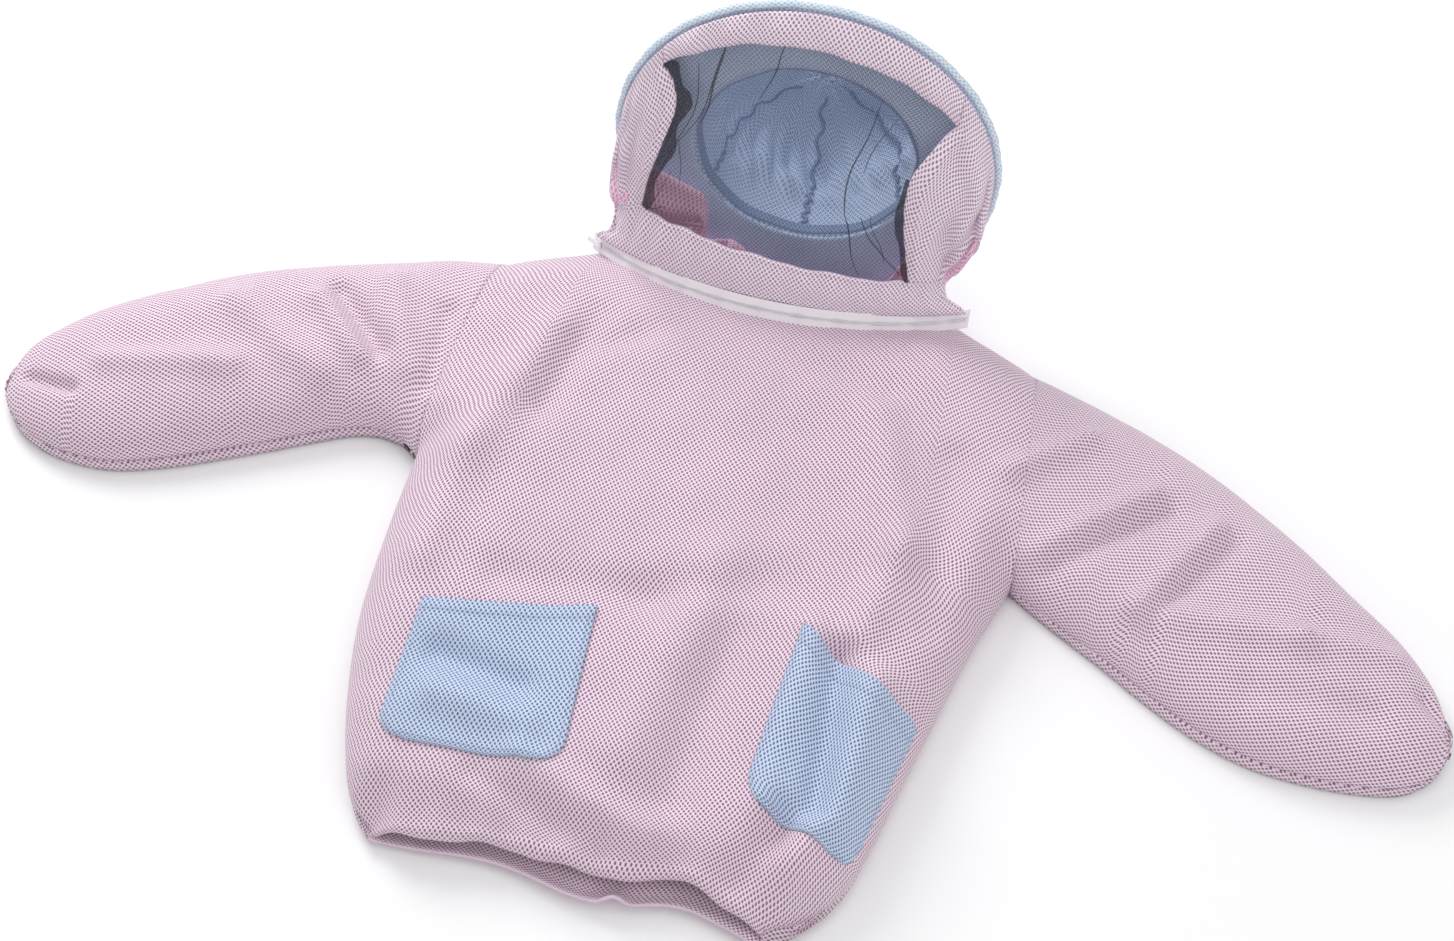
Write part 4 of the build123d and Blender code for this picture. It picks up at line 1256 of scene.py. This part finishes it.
def cuff(side):
    """A cuff gathered by its elastic and tucked under the puffed end of the sleeve."""
    name = "left_cuff" if side > 0 else "right_cuff"
    low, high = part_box(name + "_casing")
    droop = CUFF_DROOP[side]
    outward = np.array([side * math.cos(droop), -math.sin(droop), 0])
    across = np.array([-outward[1], outward[0], 0])
    middle = np.array((low + high) / 2) - outward * CUFF_TUCK
    middle[2] = CUFF_HEIGHT
    turn = full_circle(132)
    t = np.linspace(0, 1, 12)[:, None]
    gather = 1 + waves(turn, (0.045, 22, 0), (0.02, 9, 1))[None]
    wide = CUFF_WIDE * gather * (1 - 0.10 * t)
    tall = CUFF_TALL * gather
    reach = (t - 0.5) * CUFF_LONG
    points = (middle + reach[..., None] * outward + (wide * np.cos(turn)[None])[..., None] * across
              + (tall * np.sin(turn)[None])[..., None] * TOWARDS_TOP)
    points[..., 2] = np.maximum(points[..., 2], CUFF_LOWEST)
    made = grid_object(name + "_gathered", points, PINK, wrap=True, flip=side > 0)
    thicken(made, CLOTH, 0)
    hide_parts(name + "_casing")
    path = (middle + (CUFF_ELASTIC_WIDE * np.cos(turn))[:, None] * across
            + (CUFF_ELASTIC_TALL * np.sin(turn))[:, None] * TOWARDS_TOP)
    band = tube(name + "_elastic_band", path, CUFF_ELASTIC_HALF, ELASTIC, 8, closed=True, flat=0.3, up=outward)
    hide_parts(name + "_elastic")
    for piece in (made, band):
        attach(piece, "left_sleeve_unit" if side > 0 else "right_sleeve_unit")


hem_elastic()
cuff(1)
cuff(-1)


# ---------------- CAD pieces that stay
for name in ("brim_hoop", "zip_stops", "zip_slider", "zip_pull_tab"):
    frame["nodes"][name].data.materials.clear()
    frame["nodes"][name].data.materials.append(PLASTIC)


# Air mesh and net let light through, so the hood's pieces don't darken what is inside it
POROUS = ("tulle", "hat_brim", "hat_crown", "hat_sweatband", "veil_back")
for piece in bpy.context.scene.objects:
    if piece.name.startswith(POROUS):
        piece.visible_shadow = False


# ---------------- stage and camera
FLOOR_HALF = 6.0
WORLD_STRENGTH = 0.62
# Soft lights: name, place, size and power
LIGHTS = [("key", (-1.3, 1.3, 1.5), 1.1, 30), ("fill", (1.4, -0.9, 1.6), 1.8, 8),
          ("top", (0.1, 0.1, 2.3), 1.6, 8)]
CAMERA_AZIMUTH, CAMERA_ELEVATION, CAMERA_DISTANCE = math.radians(14.4), math.radians(60), 1.938
CAMERA_LENS, CAMERA_SENSOR = 60, 36  # millimetres


def stage():
    """A white floor, white surroundings and three soft lights."""
    mesh = bpy.data.meshes.new("floor")
    corners = [(-FLOOR_HALF, -FLOOR_HALF, 0), (FLOOR_HALF, -FLOOR_HALF, 0),
               (FLOOR_HALF, FLOOR_HALF, 0), (-FLOOR_HALF, FLOOR_HALF, 0)]
    mesh.from_pydata(corners, [], [(0, 1, 2, 3)])
    floor = bpy.data.objects.new("floor", mesh)
    bpy.context.scene.collection.objects.link(floor)
    made, _, shader = base_material("white paper")
    shader.inputs["Base Color"].default_value = (0.93, 0.93, 0.94, 1)
    shader.inputs["Roughness"].default_value = 0.8
    mesh.materials.append(made)
    bpy.context.scene.view_settings.view_transform = "Standard"
    world = bpy.data.worlds.new("studio")
    bpy.context.scene.world = world
    world.use_nodes = True
    world.node_tree.nodes["Background"].inputs[0].default_value = (1.0, 1.0, 1.0, 1)
    world.node_tree.nodes["Background"].inputs[1].default_value = WORLD_STRENGTH
    for name, place, size, power in LIGHTS:
        data = bpy.data.lights.new(name, "AREA")
        data.size = size
        data.energy = power
        light = bpy.data.objects.new(name, data)
        light.location = place
        light.rotation_euler = (Vector((0, 0, 0)) - Vector(place)).to_track_quat("-Z", "Y").to_euler()
        bpy.context.scene.collection.objects.link(light)


def camera():
    """The camera, looking at the middle of the chest from above the hem."""
    flat = math.cos(CAMERA_ELEVATION)
    back = Vector((math.sin(CAMERA_AZIMUTH) * flat, -math.cos(CAMERA_AZIMUTH) * flat,
                   math.sin(CAMERA_ELEVATION)))
    data = bpy.data.cameras.new("camera")
    data.lens = CAMERA_LENS
    data.sensor_width = CAMERA_SENSOR
    made = bpy.data.objects.new("camera", data)
    made.location = back * CAMERA_DISTANCE
    made.rotation_euler = back.to_track_quat("Z", "Y").to_euler()
    bpy.context.scene.collection.objects.link(made)
    bpy.context.scene.camera = made


stage()
camera()

# ---------------- pieces whose placement is baked into their meshes
for sleeve, side, unit in ((left_sleeve, 1, "left_sleeve_unit"), (right_sleeve, -1, "right_sleeve_unit")):
    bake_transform(sleeve)
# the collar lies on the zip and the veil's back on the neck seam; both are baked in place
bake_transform(collar_band)
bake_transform(back_of_veil)
